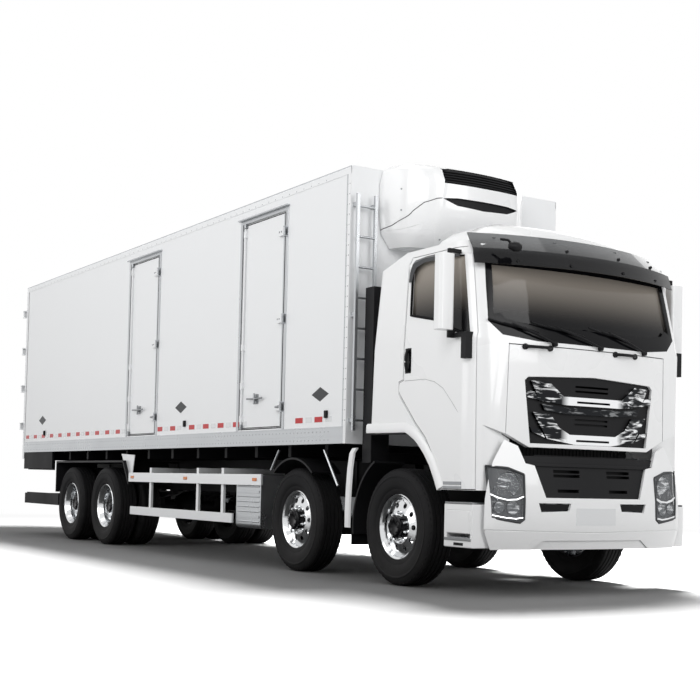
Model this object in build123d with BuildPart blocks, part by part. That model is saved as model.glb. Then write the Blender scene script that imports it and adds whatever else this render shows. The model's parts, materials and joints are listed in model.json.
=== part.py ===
"""Refrigerated four-axle rigid truck: chassis, tilting cab, insulated box and nose-mounted cooler.

Millimetres, +X forward, +Y to the vehicle's left, +Z up, origin on the ground below the middle
of the overall length. Places along the vehicle are written from the front axle, A1.
"""
import os

from build123d import *

os.makedirs("parts", exist_ok=True)

# Driving dimensions of the chassis
A1 = 4660
A2 = A1 - 1850
A3 = A2 - 5200
A4 = A3 - 1350
WHEEL_Z = 525
TYRE_R = 525
TYRE_W = 298
RIM_R = 286
FLANGE_R = 299
FRONT_TRACK_HALF = 1030
REAR_OUTER_Y = 1095
REAR_INNER_Y = 757
KINGPIN_Y = 850
FRAME_Y = 430
FRAME_TOP = 1050
FRAME_DEPTH = 290
FRAME_FRONT = A1 + 1090
FRAME_REAR = -5880

# Driving dimensions of the insulated box
BOX_FRONT = A1 - 730
BOX_REAR = -5950
BOX_Y = 1275
BOX_BOTTOM = 1280
SILL_TOP = 1440
BOX_TOP = 3930
ROOF_T = 80
DECK_T = 10
WALL_T = 80
SKIN_Y = BOX_Y - 5
DOOR_GAP = 12

# Driving dimensions of the cab
CAB_T = 52
CAB_BOTTOM = 870
CAB_FLOOR = 1440
BELT_Z = 2130
HEADER_Z = 2860
CAB_TOP = 3000
CAB_GAP = 7

SIDES = (("right", -1), ("left", 1))


def save(piece, label):
    """Label a finished piece and write it under its node name."""
    piece.part.label = label
    export_step(piece.part, f"parts/{label}.step")


def block(x0, x1, y0, y1, z0, z1, mode=Mode.ADD):
    """Add or cut a box given by its two corners."""
    with Locations(((x0 + x1) / 2, (y0 + y1) / 2, (z0 + z1) / 2)):
        Box(abs(x1 - x0), abs(y1 - y0), abs(z1 - z0), mode=mode)


def shaft(x, y, z, radius, length, axis="y", mode=Mode.ADD):
    """Add or cut a cylinder centred on a point, along one of the row's axes."""
    turn = {"x": (0, 90, 0), "y": (90, 0, 0), "z": (0, 0, 0)}[axis]
    with Locations(Location((x, y, z), turn)):
        Cylinder(radius, length, mode=mode)


def side_plane(y):
    """Plane whose first axis is +X and second +Z, at one place across the vehicle."""
    return Plane(origin=(0, y, 0), x_dir=(1, 0, 0), z_dir=(0, -1, 0))


def side_prism(points, y0, y1, mode=Mode.ADD, grow=0):
    """Extrude an outline of (x, z) points across the vehicle, grown by a shut gap if given."""
    low = min(y0, y1)
    with BuildSketch(side_plane(low)) as outline:
        with BuildLine():
            Polyline(*points, close=True)
        make_face()
        if grow:
            offset(amount=grow, kind=Kind.INTERSECTION)
    extrude(outline.sketch, amount=-abs(y1 - y0), mode=mode)


def front_prism(points, x0, x1, mode=Mode.ADD, grow=0):
    """Extrude an outline of (y, z) points along the vehicle, grown by a shut gap if given."""
    with BuildSketch(Plane(origin=(x0, 0, 0), x_dir=(0, 1, 0), z_dir=(1, 0, 0))) as outline:
        with BuildLine():
            Polyline(*points, close=True)
        make_face()
        if grow:
            offset(amount=grow, kind=Kind.INTERSECTION)
    extrude(outline.sketch, amount=x1 - x0, mode=mode)


def both_prisms(points, x0, x1, mode=Mode.ADD):
    """Extrude an outline of (y, z) points and its mirror image along the vehicle."""
    with BuildSketch(Plane(origin=(x0, 0, 0), x_dir=(0, 1, 0), z_dir=(1, 0, 0))) as outlines:
        for side in (-1, 1):
            with BuildLine():
                Polyline(*[(side * y, z) for y, z in points], close=True)
            make_face()
    extrude(outlines.sketch, amount=x1 - x0, mode=mode)


def plan_loft(sections, inset=0, mode=Mode.ADD):
    """Loft plan outlines with straight sides, a bowed front and rounded corners.

    Each row is z, front x on the centre line, rear x, half width, bow of the front, corner
    radius and rear corner radius.
    """
    plans = []
    for z, front, rear, half, bow, corner, rear_corner in sections:
        with BuildSketch(Plane.XY.offset(z)) as plan:
            with BuildLine():
                Polyline(
                    (front - inset - bow, half - inset),
                    (rear + inset, half - inset),
                    (rear + inset, inset - half),
                    (front - inset - bow, inset - half),
                )
                ThreePointArc(
                    (front - inset - bow, inset - half),
                    (front - inset, 0),
                    (front - inset - bow, half - inset),
                )
            make_face()
            fillet(plan.vertices().sort_by(Axis.X)[2:], corner - inset * 0.5)
            fillet(plan.vertices().sort_by(Axis.X)[:2], rear_corner - inset * 0.5)
        plans.append(plan.sketch)
    loft(plans, ruled=True, mode=mode)


# Frame: two channel rails joined by cross-members
with BuildPart() as frame_rails:
    for side in (-1, 1):
        y_web = side * FRAME_Y
        y_in = side * (FRAME_Y - 85)
        block(FRAME_REAR, FRAME_FRONT, y_web, y_in, FRAME_TOP - FRAME_DEPTH, FRAME_TOP)
        y_cut = side * (FRAME_Y - 9)
        block(
            FRAME_REAR, FRAME_FRONT, y_cut, y_in - side,
            FRAME_TOP - FRAME_DEPTH + 10, FRAME_TOP - 10, mode=Mode.SUBTRACT,
        )
save(frame_rails, "frame_rails")

CROSS_MEMBER_X = (FRAME_REAR + 130, -4900, A4, A3, -1300, -300, 700, 1700, A2)
BUMPER_T = 70
# z, front x, rear x, half width, bow of the front, corner radius, rear corner radius
BUMPER_SECTIONS = (
    (385, A1 + 1315, A1 + 600, 1200, 130, 240, 60),
    (560, A1 + 1340, A1 + 600, 1225, 130, 240, 60),
    (800, A1 + 1335, A1 + 600, 1225, 130, 240, 60),
    (1390, A1 + 1270, A1 + 600, 1205, 120, 220, 60),
)
TOW_Y = 300
TOW_Z = 700
TOW_R = 22
with BuildPart() as nose_member:
    block(FRAME_FRONT, FRAME_FRONT + 60, -480, 480, 800, 1020)
    for side in (-1, 1):
        y = side * TOW_Y
        block(FRAME_FRONT, FRAME_FRONT + 110, y - 20, y + 20, TOW_Z - 50, 830)
        shaft(FRAME_FRONT + 65, y, TOW_Z, TOW_R, 60, "y", Mode.SUBTRACT)
        block(FRAME_FRONT, FRAME_FRONT + 300, side * 380, side * 450, 810, 830)
        block(FRAME_FRONT + 20, FRAME_FRONT + 300, side * 380, side * 450, 640, 830)
    plan_loft(BUMPER_SECTIONS, BUMPER_T, Mode.INTERSECT)
with BuildPart() as cross_members:
    add(nose_member.part)
    for x in CROSS_MEMBER_X:
        block(x - 45, x + 45, 9 - FRAME_Y, FRAME_Y - 9, FRAME_TOP - 200, FRAME_TOP - 60)
save(cross_members, "cross_members")

# Engine and gearbox as one plain block between the rails
with BuildPart() as engine_block:
    block(A1 - 700, A1 + 560, -330, 330, 620, 1340)
    block(A1 - 1650, A1 - 700, -230, 230, 640, 1000)
save(engine_block, "engine_block")

# Axles: dropped beams in front, tube housings with bulged differential cases behind
SPRING_Z = 470
with BuildPart() as axles:
    for x in (A1, A2):
        outline = [(KINGPIN_Y, 585), (720, 585), (570, SPRING_Z), (-570, SPRING_Z), (-720, 585),
                   (-KINGPIN_Y, 585), (-KINGPIN_Y, 465), (-740, 465), (-600, 370), (600, 370),
                   (740, 465), (KINGPIN_Y, 465)]
        front_prism(outline, x - 42, x + 42)
        for side in (-1, 1):
            shaft(x, side * KINGPIN_Y, 525, 52, 120, "z")
            shaft(x, side * KINGPIN_Y, 525, 23, 200, "z", Mode.SUBTRACT)
    for x in (A3, A4):
        shaft(x, 0, WHEEL_Z, 78, 1200)
        shaft(x, 0, WHEEL_Z, 52, 2200)
        with Locations((x, 0, WHEEL_Z)):
            Sphere(205)
        block(x - 90, x + 90, -480, -380, WHEEL_Z, WHEEL_Z + 130)
        block(x - 90, x + 90, 380, 480, WHEEL_Z, WHEEL_Z + 130)
save(axles, "axles")

# Leaf springs with their hangers
SPRINGS = (
    ("steer", A1, 1250, SPRING_Z),
    ("steer", A2, 1250, SPRING_Z),
    ("drive", A3, 1100, WHEEL_Z + 130),
    ("drive", A4, 1100, WHEEL_Z + 130),
)
with BuildPart() as leaf_springs:
    for kind, x, span, z_seat in SPRINGS:
        half = span / 2
        z_end = 700 if kind == "steer" else 725
        for side in (-1, 1):
            y0 = side * 385
            y1 = side * 475
            side_prism([
                (x - half, z_end), (x - half, z_end - 22), (x - 120, z_seat), (x + 120, z_seat),
                (x + half, z_end - 22), (x + half, z_end), (x + 120, z_seat + 75),
                (x - 120, z_seat + 75),
            ], y0, y1)
            for end in (-1, 1):
                xe = x + end * (half - 35)
                block(xe - 45, xe + 45, y0, y1, z_end - 25, FRAME_TOP - FRAME_DEPTH)
save(leaf_springs, "leaf_springs")

# Knuckles: a fork round the beam's end, a kingpin through both and the wheel's spindle
for number, x in ((1, A1), (2, A2)):
    for name, side in SIDES:
        with BuildPart() as knuckle:
            y = side * KINGPIN_Y
            y_web = side * (KINGPIN_Y + 66)
            for z in (437, 613):
                shaft(x, y, z, 50, 44, "z")
                block(x - 50, x + 50, y, y_web + side * 30, z - 22, z + 22)
            block(x - 50, x + 50, y_web, y_web + side * 30, 415, 635)
            shaft(x, y, 525, 22, 200, "z")
            shaft(x, side * (KINGPIN_Y + 185), WHEEL_Z, 40, 250)
        save(knuckle, f"knuckle_{number}_{name}")


def tyre_solid(y):
    """Revolve one tyre about its axle, centred on a plane across the vehicle."""
    half = TYRE_W / 2
    with BuildSketch(Plane.XY) as section:
        with BuildLine():
            Polyline(
                (RIM_R, y - 105), (RIM_R + 30, y - 125), (410, y - half), (490, y - 134),
                (TYRE_R, y - 108), (TYRE_R, y + 108), (490, y + 134), (410, y + half),
                (RIM_R + 30, y + 125), (RIM_R, y + 105), close=True,
            )
        make_face()
    revolve(section.sketch, axis=Axis.Y)


def rim_solid(y, disc_y, side):
    """Revolve a drop-centre rim with its disc and cut the ten hand holes."""
    with BuildSketch(Plane.XY) as barrel:
        with BuildLine():
            Polyline(
                (RIM_R, y - 105), (RIM_R, y + 105), (FLANGE_R, y + 116), (FLANGE_R - 10, y + 124),
                (RIM_R - 14, y + 112), (RIM_R - 44, y + 55), (RIM_R - 44, y - 55),
                (RIM_R - 14, y - 112), (FLANGE_R - 10, y - 124), (FLANGE_R, y - 116), close=True,
            )
        make_face()
    revolve(barrel.sketch, axis=Axis.Y)
    with BuildSketch(Plane.XY) as disc:
        with BuildLine():
            Polyline(
                (150, disc_y + side * 24), (RIM_R - 30, disc_y - side * 6),
                (RIM_R - 30, disc_y - side * 26), (150, disc_y + side * 6), (60, disc_y + side * 6),
                (60, disc_y + side * 24), close=True,
            )
        make_face()
    revolve(disc.sketch, axis=Axis.Y)
    turned = Plane(origin=(0, disc_y, 0), x_dir=(1, 0, 0), z_dir=(0, -1, 0))
    with BuildSketch(turned) as holes:
        with PolarLocations(198, 10):
            Circle(24)
    extrude(holes.sketch, amount=60, both=True, mode=Mode.SUBTRACT)


# Wheels on the steered axles: one tyre, rim and hub on each knuckle
for number, x in ((1, A1), (2, A2)):
    for name, side in SIDES:
        y = side * FRONT_TRACK_HALF
        with BuildPart() as tyre:
            tyre_solid(y)
        tyre.part.position = (x, 0, WHEEL_Z)
        save(tyre, f"tyre_{number}_{name}")
        with BuildPart() as rim:
            rim_solid(y, y + side * 75, side)
            with BuildSketch(Plane.XY):
                with BuildLine():
                    Polyline(
                        (41, y - side * 60), (130, y - side * 60), (130, y + side * 40),
                        (95, y + side * 81), (95, y + side * 150), (0, y + side * 160),
                        (0, y + side * 140), (41, y + side * 140), close=True,
                    )
                make_face()
            revolve(axis=Axis.Y)
        rim.part.position = (x, 0, WHEEL_Z)
        save(rim, f"rim_{number}_{name}")

# Twin wheels on the driven axles: two tyres and two rims on one hub
for number, x in ((3, A3), (4, A4)):
    for name, side in SIDES:
        outer = side * REAR_OUTER_Y
        inner = side * REAR_INNER_Y
        with BuildPart() as tyre:
            tyre_solid(outer)
            tyre_solid(inner)
        tyre.part.position = (x, 0, WHEEL_Z)
        save(tyre, f"tyre_{number}_{name}")
        with BuildPart() as rim:
            rim_solid(outer, outer - side * 70, side)
            rim_solid(inner, inner + side * 70, side)
            with BuildSketch(Plane.XY):
                with BuildLine():
                    Polyline(
                        (53, inner - side * 60), (130, inner - side * 60),
                        (130, outer - side * 50), (100, outer - side * 20),
                        (100, outer + side * 60), (0, outer + side * 70),
                        (0, outer + side * 20), (53, outer + side * 20), close=True,
                    )
                make_face()
            revolve(axis=Axis.Y)
        rim.part.position = (x, 0, WHEEL_Z)
        save(rim, f"rim_{number}_{name}")

# Insulated box: floor with its long and cross bearers, walls and roof
SIDE_DOORS = (
    # name, x of rear edge, x of front edge, bottom z, top z
    ("front", A1 - 2980, A1 - 1990, 1455, 3710),
    ("rear", A1 - 6210, A1 - 5265, 1455, 3710),
)
BEARER_PITCH = 740
with BuildPart() as box_floor:
    block(BOX_REAR + 90, BOX_FRONT - 50, -SKIN_Y, SKIN_Y, BOX_BOTTOM, SILL_TOP)
    for i in range(13):
        x = BOX_REAR + 500 + i * BEARER_PITCH
        block(x - 30, x + 30, -1180, 1180, 1160, BOX_BOTTOM)
    for side in (-1, 1):
        block(BOX_REAR + 90, BOX_FRONT - 50, side * 350, side * FRAME_Y, FRAME_TOP, 1160)
    block(BOX_REAR + 100, BOX_FRONT - 60, WALL_T + 10 - SKIN_Y, SKIN_Y - WALL_T - 10, SILL_TOP,
          SILL_TOP + DECK_T)
save(box_floor, "box_floor")
with BuildPart() as box_roof:
    block(BOX_REAR, BOX_FRONT, -BOX_Y, BOX_Y, BOX_TOP - ROOF_T, BOX_TOP)
    fillet(box_roof.edges().filter_by(Axis.X).group_by(Axis.Z)[-1], 20)
save(box_roof, "box_roof")
with BuildPart() as box_wall_left:
    block(BOX_REAR + 90, BOX_FRONT - 50, SKIN_Y - WALL_T, SKIN_Y, SILL_TOP, BOX_TOP - ROOF_T)
save(box_wall_left, "box_wall_left")
with BuildPart() as box_wall_right:
    block(BOX_REAR + 90, BOX_FRONT - 50, WALL_T - SKIN_Y, -SKIN_Y, SILL_TOP, BOX_TOP - ROOF_T)
    for name, x0, x1, z0, z1 in SIDE_DOORS:
        block(x0, x1, WALL_T - SKIN_Y, -SKIN_Y, z0, z1, mode=Mode.SUBTRACT)
save(box_wall_right, "box_wall_right")
with BuildPart() as box_front_wall:
    block(BOX_FRONT - 50, BOX_FRONT, -BOX_Y, BOX_Y, BOX_BOTTOM, BOX_TOP - ROOF_T)
save(box_front_wall, "box_front_wall")

# Rear door frame with its hinge lugs
DOORWAY_Y = 1180
DOORWAY_Z = (1440, 3800)
HINGE_BACK = 60
REAR_HINGE_Y = 1300
REAR_HINGE_Z = (1700, 2300, 2900, 3500)
with BuildPart() as rear_frame:
    block(BOX_REAR, BOX_REAR + 90, -BOX_Y, BOX_Y, 1180, BOX_TOP - ROOF_T)
    block(BOX_REAR, BOX_REAR + 90, -DOORWAY_Y, DOORWAY_Y, *DOORWAY_Z, mode=Mode.SUBTRACT)
    for side in (-1, 1):
        for z in REAR_HINGE_Z:
            for dz in (-52, 52):
                block(BOX_REAR - HINGE_BACK - 13, BOX_REAR, side * 1235, side * 1314,
                      z + dz - 6, z + dz + 6)
save(rear_frame, "rear_frame")

# Two rear leaves, hinged outside the corner posts so that they fold flat along the sides
for name, side in SIDES:
    with BuildPart() as leaf:
        block(BOX_REAR, BOX_REAR + 80, side * 6, side * (DOORWAY_Y - DOOR_GAP),
              DOORWAY_Z[0] + DOOR_GAP, DOORWAY_Z[1] - DOOR_GAP)
        for y in (side * 300, side * 900):
            shaft(BOX_REAR - 22, y, 2600, 14, 2300, "z")
            for z in (1600, 2300, 2900, 3600):
                block(BOX_REAR - 40, BOX_REAR, y - 35, y + 35, z - 40, z + 40)
        for z in REAR_HINGE_Z:
            shaft(BOX_REAR - HINGE_BACK, side * REAR_HINGE_Y, z, 13, 90, "z")
            block(BOX_REAR - HINGE_BACK - 8, BOX_REAR - HINGE_BACK + 8, side * REAR_HINGE_Y,
                  side * 1120, z - 45, z + 45)
            block(BOX_REAR - HINGE_BACK - 8, BOX_REAR, side * 1120, side * 1160, z - 45, z + 45)
    save(leaf, f"rear_door_{name}")
# Side doors in the right wall: three hinges on the forward edge, a lock rod on the other
SIDE_HINGE_OUT = 30
for name, x0, x1, z0, z1 in SIDE_DOORS:
    with BuildPart() as door:
        block(x0 + DOOR_GAP + 4, x1 - DOOR_GAP, WALL_T - SKIN_Y, -SKIN_Y, z0 + DOOR_GAP,
              z1 - DOOR_GAP)
        x_rod = x0 + 90
        shaft(x_rod, -SKIN_Y - 18, (z0 + z1) / 2, 11, z1 - z0 - 120, "z")
        for z in (z0 + 120, z0 + 480, z0 + 900, z1 - 120):
            block(x_rod - 22, x_rod + 22, -SKIN_Y - 28, -SKIN_Y, z - 35, z + 35)
        for z in (z0 + 220, (z0 + z1) / 2, z1 - 220):
            shaft(x1 + 14, -SKIN_Y - SIDE_HINGE_OUT, z, 10, 80, "z")
            block(x1 - 110, x1 + 14, -SKIN_Y - SIDE_HINGE_OUT - 6, -SKIN_Y - SIDE_HINGE_OUT + 6,
                  z - 40, z + 40)
            block(x1 - 110, x1 - 70, -SKIN_Y - SIDE_HINGE_OUT, -SKIN_Y, z - 40, z + 40)
    save(door, f"side_door_{name}")

# Side sills, hinge lugs and drip rails
with BuildPart() as box_trim:
    for side in (-1, 1):
        block(BOX_REAR + 90, BOX_FRONT - 50, side * SKIN_Y, side * (BOX_Y + 5),
              BOX_BOTTOM, SILL_TOP)
    for name, x0, x1, z0, z1 in SIDE_DOORS:
        for z in (z0 + 220, (z0 + z1) / 2, z1 - 220):
            for dz in (-47, 47):
                block(x1 + 2, x1 + 26, -SKIN_Y - SIDE_HINGE_OUT - 12, -SKIN_Y, z + dz - 6, z + dz + 6)
        block(x0 - 60, x1 + 60, -SKIN_Y - 40, -SKIN_Y, z1 + 40, z1 + 56)
save(box_trim, "box_trim")

# Cab body, lofted through plan sections
# z, front x, rear x, half width, bow of the front, corner radius, rear corner radius
CAB_SECTIONS = (
    (CAB_BOTTOM, A1 + 1270, A1 - 430, 1220, 120, 210, 60),
    (BELT_Z, A1 + 1290, A1 - 380, 1220, 130, 210, 60),
    (HEADER_Z, A1 + 1130, A1 - 325, 1185, 130, 200, 60),
    (CAB_TOP, A1 + 1010, A1 - 40, 1110, 120, 190, 60),
)
CABIN_SECTIONS = (
    (CAB_FLOOR, A1 + 1275, A1 - 405, 1220, 125, 210, 60),
    (BELT_Z, A1 + 1290, A1 - 380, 1220, 130, 210, 60),
    (HEADER_Z, A1 + 1130, A1 - 325, 1185, 130, 200, 60),
    (CAB_TOP - CAB_T, A1 + 1040, A1 - 100, 1120, 120, 190, 60),
)
SKIRT_SECTIONS = (
    (CAB_BOTTOM - 50, A1 + 1268, A1 - 600, 1220, 120, 210, 60),
    (CAB_FLOOR - 45, A1 + 1278, A1 - 600, 1220, 125, 210, 60),
)
DOOR_OUTLINE = [
    (A1 + 975, 2925), (A1 + 150, 2925), (A1 + 140, 1830), (A1 + 75, 1815), (A1 + 78, 1709),
    (A1 + 341, 1441), (A1 + 493, 1312), (A1 + 662, 1081), (A1 + 745, 880), (A1 + 1125, 880),
    (A1 + 1125, 2180),
]
WINDOW_OUTLINE = [
    (A1 + 935, 2850), (A1 + 330, 2870), (A1 + 215, 2820), (A1 + 225, 2400), (A1 + 590, 2330),
    (A1 + 830, 2230), (A1 + 1080, 2150),
]
ARCH_OUTLINE = [
    (A1 - 700, 1370), (A1 + 194, 1365), (A1 + 384, 1271), (A1 + 573, 1081), (A1 + 700, 860),
    (A1 + 700, 700), (A1 - 700, 700),
]
SCREEN_OUTLINE = [
    (1010, 2800), (1050, 2300), (930, 2190), (600, 2155), (-600, 2155), (-930, 2190),
    (-1050, 2300), (-1010, 2800),
]
PANEL_OUTLINE = [
    (890, 2092), (905, 1345), (680, 1240), (-680, 1240), (-905, 1345), (-890, 2092),
]
GRILLE_OUTLINE = [
    (735, 1800), (700, 1830), (0, 1860), (-700, 1830), (-735, 1800), (-670, 1275), (670, 1275),
]
# Two wing-shaped bars, their outer chevrons and the band between, right half seen from the front
WING_OUTLINES = (
    [(0, 1610), (0, 1682), (335, 1682), (500, 1806), (672, 1798), (586, 1636), (310, 1610)],
    [(0, 1276), (0, 1360), (262, 1360), (376, 1416), (468, 1526), (650, 1538), (500, 1318),
     (205, 1276)],
    [(732, 1722), (636, 1708), (582, 1640), (706, 1660)],
    [(672, 1408), (576, 1396), (520, 1326), (655, 1372)],
    [(0, 1534), (0, 1590), (300, 1590), (560, 1612), (530, 1556), (300, 1534)],
)
WING_DEPTH = 26
NOSE_OUTLINE = [
    (1300, 1435), (1180, 1430), (905, 1345), (680, 1240), (-680, 1240), (-905, 1345),
    (-1180, 1430), (-1300, 1435), (-1300, 700), (1300, 700),
]


with BuildPart() as cab_skin:
    plan_loft(CAB_SECTIONS)
    plan_loft(CABIN_SECTIONS, CAB_T, Mode.SUBTRACT)
    plan_loft(SKIRT_SECTIONS, CAB_T, Mode.SUBTRACT)
    side_prism(ARCH_OUTLINE, -1400, 1400, Mode.SUBTRACT)
    front_prism(NOSE_OUTLINE, A1 + 1162, A1 + 1500, Mode.SUBTRACT)
    block(A1 - 470, A1 - 300, -1400, 1400, 700, 1370, Mode.SUBTRACT)

with BuildPart() as cab_glass_skin:
    plan_loft(CAB_SECTIONS, 18)
    plan_loft(CAB_SECTIONS, 26, Mode.SUBTRACT)

with BuildPart() as cab_shell:
    add(cab_skin.part)
    for side in (-1, 1):
        side_prism(DOOR_OUTLINE, side * 1100, side * 1400, Mode.SUBTRACT, CAB_GAP)
    front_prism(SCREEN_OUTLINE, A1 + 900, A1 + 1500, Mode.SUBTRACT)
    front_prism(PANEL_OUTLINE, A1 + 1100, A1 + 1500, Mode.SUBTRACT, CAB_GAP)
save(cab_shell, "cab_shell")

with BuildPart() as windscreen:
    add(cab_glass_skin.part)
    front_prism(SCREEN_OUTLINE, A1 + 900, A1 + 1500, Mode.INTERSECT)
save(windscreen, "windscreen")

with BuildPart() as front_panel:
    add(cab_skin.part)
    front_prism(PANEL_OUTLINE, A1 + 1100, A1 + 1500, Mode.INTERSECT)
    front_prism(GRILLE_OUTLINE, A1 + 1100, A1 + 1500, Mode.SUBTRACT)
save(front_panel, "front_panel")

with BuildPart() as wing_bars:
    for outline in WING_OUTLINES:
        both_prisms(outline, A1 + 1100, A1 + 1500)
with BuildPart() as upper_grille:
    add(cab_skin.part)
    front_prism(GRILLE_OUTLINE, A1 + 1100, A1 + 1500, Mode.INTERSECT)
    with BuildPart(mode=Mode.PRIVATE) as mouth:
        front_prism(GRILLE_OUTLINE, A1 + 1100, A1 + 1500, grow=20)
        plan_loft(CAB_SECTIONS, WING_DEPTH, Mode.SUBTRACT)
        add(wing_bars.part, mode=Mode.SUBTRACT)
    add(mouth.part, mode=Mode.SUBTRACT)
    for z in (1310, 1450, 1490, 1640, 1735, 1775):
        block(A1 + 1226, A1 + 1400, -190, 190, z - 9, z + 9, Mode.SUBTRACT)
save(upper_grille, "upper_grille")

for name, side in SIDES:
    with BuildPart() as cab_door:
        add(cab_skin.part)
        side_prism(DOOR_OUTLINE, side * 1100, side * 1400, Mode.INTERSECT)
        side_prism(WINDOW_OUTLINE, side * 1100, side * 1400, Mode.SUBTRACT)
    save(cab_door, f"cab_door_{name}")
    with BuildPart() as door_glass:
        add(cab_glass_skin.part)
        side_prism(WINDOW_OUTLINE, side * 1100, side * 1400, Mode.INTERSECT)
    save(door_glass, f"door_glass_{name}")
    with BuildPart() as mirror:
        y_out = side * 1420
        y_in = side * 1270
        block(A1 + 850, A1 + 960, y_in, y_out, 2200, 2840)
        fillet(mirror.edges().filter_by(Axis.Z), 30)
        block(A1 + 890, A1 + 920, side * 1180, side * 1300, 2860, 2890)
        block(A1 + 890, A1 + 920, side * 1280, side * 1310, 2835, 2890)
        block(A1 + 890, A1 + 1100, side * 1230, side * 1255, 2140, 2180)
        block(A1 + 890, A1 + 915, side * 1230, side * 1300, 2140, 2205)
        block(A1 + 1030, A1 + 1100, side * 1160, side * 1255, 1960, 2180)
        plan_loft(CAB_SECTIONS, 0, Mode.SUBTRACT)
    save(mirror, f"mirror_{name}")

# Roof deflector and smoked visor
DEFLECTOR_SECTIONS = (
    (CAB_TOP, A1 + 970, A1 + 150, 980, 130, 140, 110),
    (3150, A1 + 930, A1 + 155, 900, 130, 130, 110),
    (3280, A1 + 830, A1 + 170, 780, 110, 120, 100),
    (3370, A1 + 710, A1 + 190, 610, 90, 100, 80),
    (3425, A1 + 560, A1 + 220, 400, 60, 80, 60),
)
with BuildPart() as roof_deflector:
    plan_loft(DEFLECTOR_SECTIONS)
save(roof_deflector, "roof_deflector")

VISOR_ROWS = (
    # z, front x, half width, sagitta
    (2765, A1 + 1330, 1150, 260),
    (2900, A1 + 1290, 1140, 265),
    (3060, A1 + 1110, 1080, 250),
)
with BuildPart() as sun_visor:
    for z, front, half, sagitta in VISOR_ROWS:
        with BuildSketch(Plane.XY.offset(z)):
            with BuildLine():
                ThreePointArc((front - sagitta, -half), (front, 0), (front - sagitta, half))
                Line((front - sagitta, half), (front - sagitta - 12, half))
                ThreePointArc((front - sagitta - 12, half), (front - 12, 0),
                              (front - sagitta - 12, -half))
                Line((front - sagitta - 12, -half), (front - sagitta, -half))
            make_face()
    loft(ruled=True)
    for side in (-1, 1):
        for y in (350, 900):
            drop = 250 * (y / 1100) ** 2
            block(A1 + 950 - drop, A1 + 1170 - drop, side * y - 15, side * y + 15, 2985, 3015)
    plan_loft(CAB_SECTIONS, 0, Mode.SUBTRACT)
    plan_loft(DEFLECTOR_SECTIONS, 0, Mode.SUBTRACT)
save(sun_visor, "sun_visor")

# Cab inside: seats, and the dashboard with its steering wheel
with BuildPart() as seats:
    for side in (-1, 1):
        y = side * 600
        block(A1 + 150, A1 + 650, y - 240, y + 240, CAB_FLOOR + 320, CAB_FLOOR + 470)
        block(A1 + 200, A1 + 600, y - 180, y + 180, CAB_FLOOR, CAB_FLOOR + 320)
        block(A1 + 60, A1 + 190, y - 230, y + 230, CAB_FLOOR + 420, CAB_FLOOR + 1080)
        block(A1 + 70, A1 + 170, y - 130, y + 130, CAB_FLOOR + 1080, CAB_FLOOR + 1280)
save(seats, "seats")
with BuildPart() as dashboard:
    block(A1 + 850, A1 + 1080, -1060, 1060, 1900, 2110)
    fillet(dashboard.edges().filter_by(Axis.Y), 40)
    block(A1 + 940, A1 + 1060, -1060, 1060, CAB_FLOOR, 1920)
    with BuildSketch(Plane(origin=(A1 + 700, 600, 2170), x_dir=(0, 1, 0), z_dir=(-0.5, 0, 0.866))):
        Circle(225)
        Circle(200, mode=Mode.SUBTRACT)
        Rectangle(420, 40)
        Circle(60)
    extrude(amount=12, both=True)
    with BuildSketch(Plane(origin=(A1 + 700, 600, 2170), x_dir=(0, 1, 0), z_dir=(-0.5, 0, 0.866))):
        Circle(35)
    extrude(amount=-330)
save(dashboard, "dashboard")

# Front bumper with the lamp housings, lower grille and lamps
BUMPER_REAR = A1 + 1210
BUMPER_TOP = [
    (1300, 1392), (1180, 1380), (905, 1290), (800, 1250), (-800, 1250), (-905, 1290),
    (-1180, 1380), (-1300, 1392), (-1300, 300), (1300, 300),
]
LOWER_GRILLE = [
    (812, 1310), (800, 1262), (728, 1105), (640, 1088), (540, 820), (-540, 820), (-640, 1088),
    (-728, 1105), (-800, 1262), (-812, 1310),
]
LOWER_GRILLE_TOP = 1168
GRILLE_LIP = [(734, 1108), (690, 1084), (-690, 1084), (-734, 1108)]
# Half width of a slot at its inner and outer end, and its lower and upper edge
GRILLE_SLOTS = ((155, 436, 1030, 1056), (155, 436, 994, 1018), (175, 400, 866, 892))
LIP_RECESS = [(680, 300), (690, 375), (560, 460), (-560, 460), (-690, 375), (-680, 300)]
BUMPER_SEAM = [(1300, 548), (0, 522), (-1300, 548), (-1300, 556), (0, 530), (1300, 556)]
LAMP_OUTLINE = [(750, 1010), (760, 640), (800, 612), (1060, 650), (1085, 1075), (900, 1060)]
FOG_OUTLINE = [(280, 775), (300, 710), (590, 700), (615, 775)]
with BuildPart() as front_bumper:
    plan_loft(BUMPER_SECTIONS)
    plan_loft(BUMPER_SECTIONS, BUMPER_T, Mode.SUBTRACT)
    block(A1, BUMPER_REAR, -1400, 1400, 300, 1500, Mode.SUBTRACT)
    front_prism(BUMPER_TOP, A1 + 1000, A1 + 1500, Mode.INTERSECT)
    front_prism(LOWER_GRILLE, A1 + 1000, A1 + 1500, Mode.SUBTRACT)
    both_prisms(LAMP_OUTLINE, A1 + 1000, A1 + 1500, Mode.SUBTRACT)
    both_prisms(FOG_OUTLINE, A1 + 1000, A1 + 1500, Mode.SUBTRACT)
    for outline, depth in ((LIP_RECESS, 14), (BUMPER_SEAM, 6)):
        with BuildPart(mode=Mode.PRIVATE) as groove:
            front_prism(outline, A1 + 1000, A1 + 1500)
            plan_loft(BUMPER_SECTIONS, depth, Mode.SUBTRACT)
        add(groove.part, mode=Mode.SUBTRACT)
save(front_bumper, "front_bumper")
with BuildPart() as bumper_skin:
    plan_loft(BUMPER_SECTIONS, 22)
    plan_loft(BUMPER_SECTIONS, 62, Mode.SUBTRACT)
    block(A1, BUMPER_REAR, -1400, 1400, 300, 1500, Mode.SUBTRACT)
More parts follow.
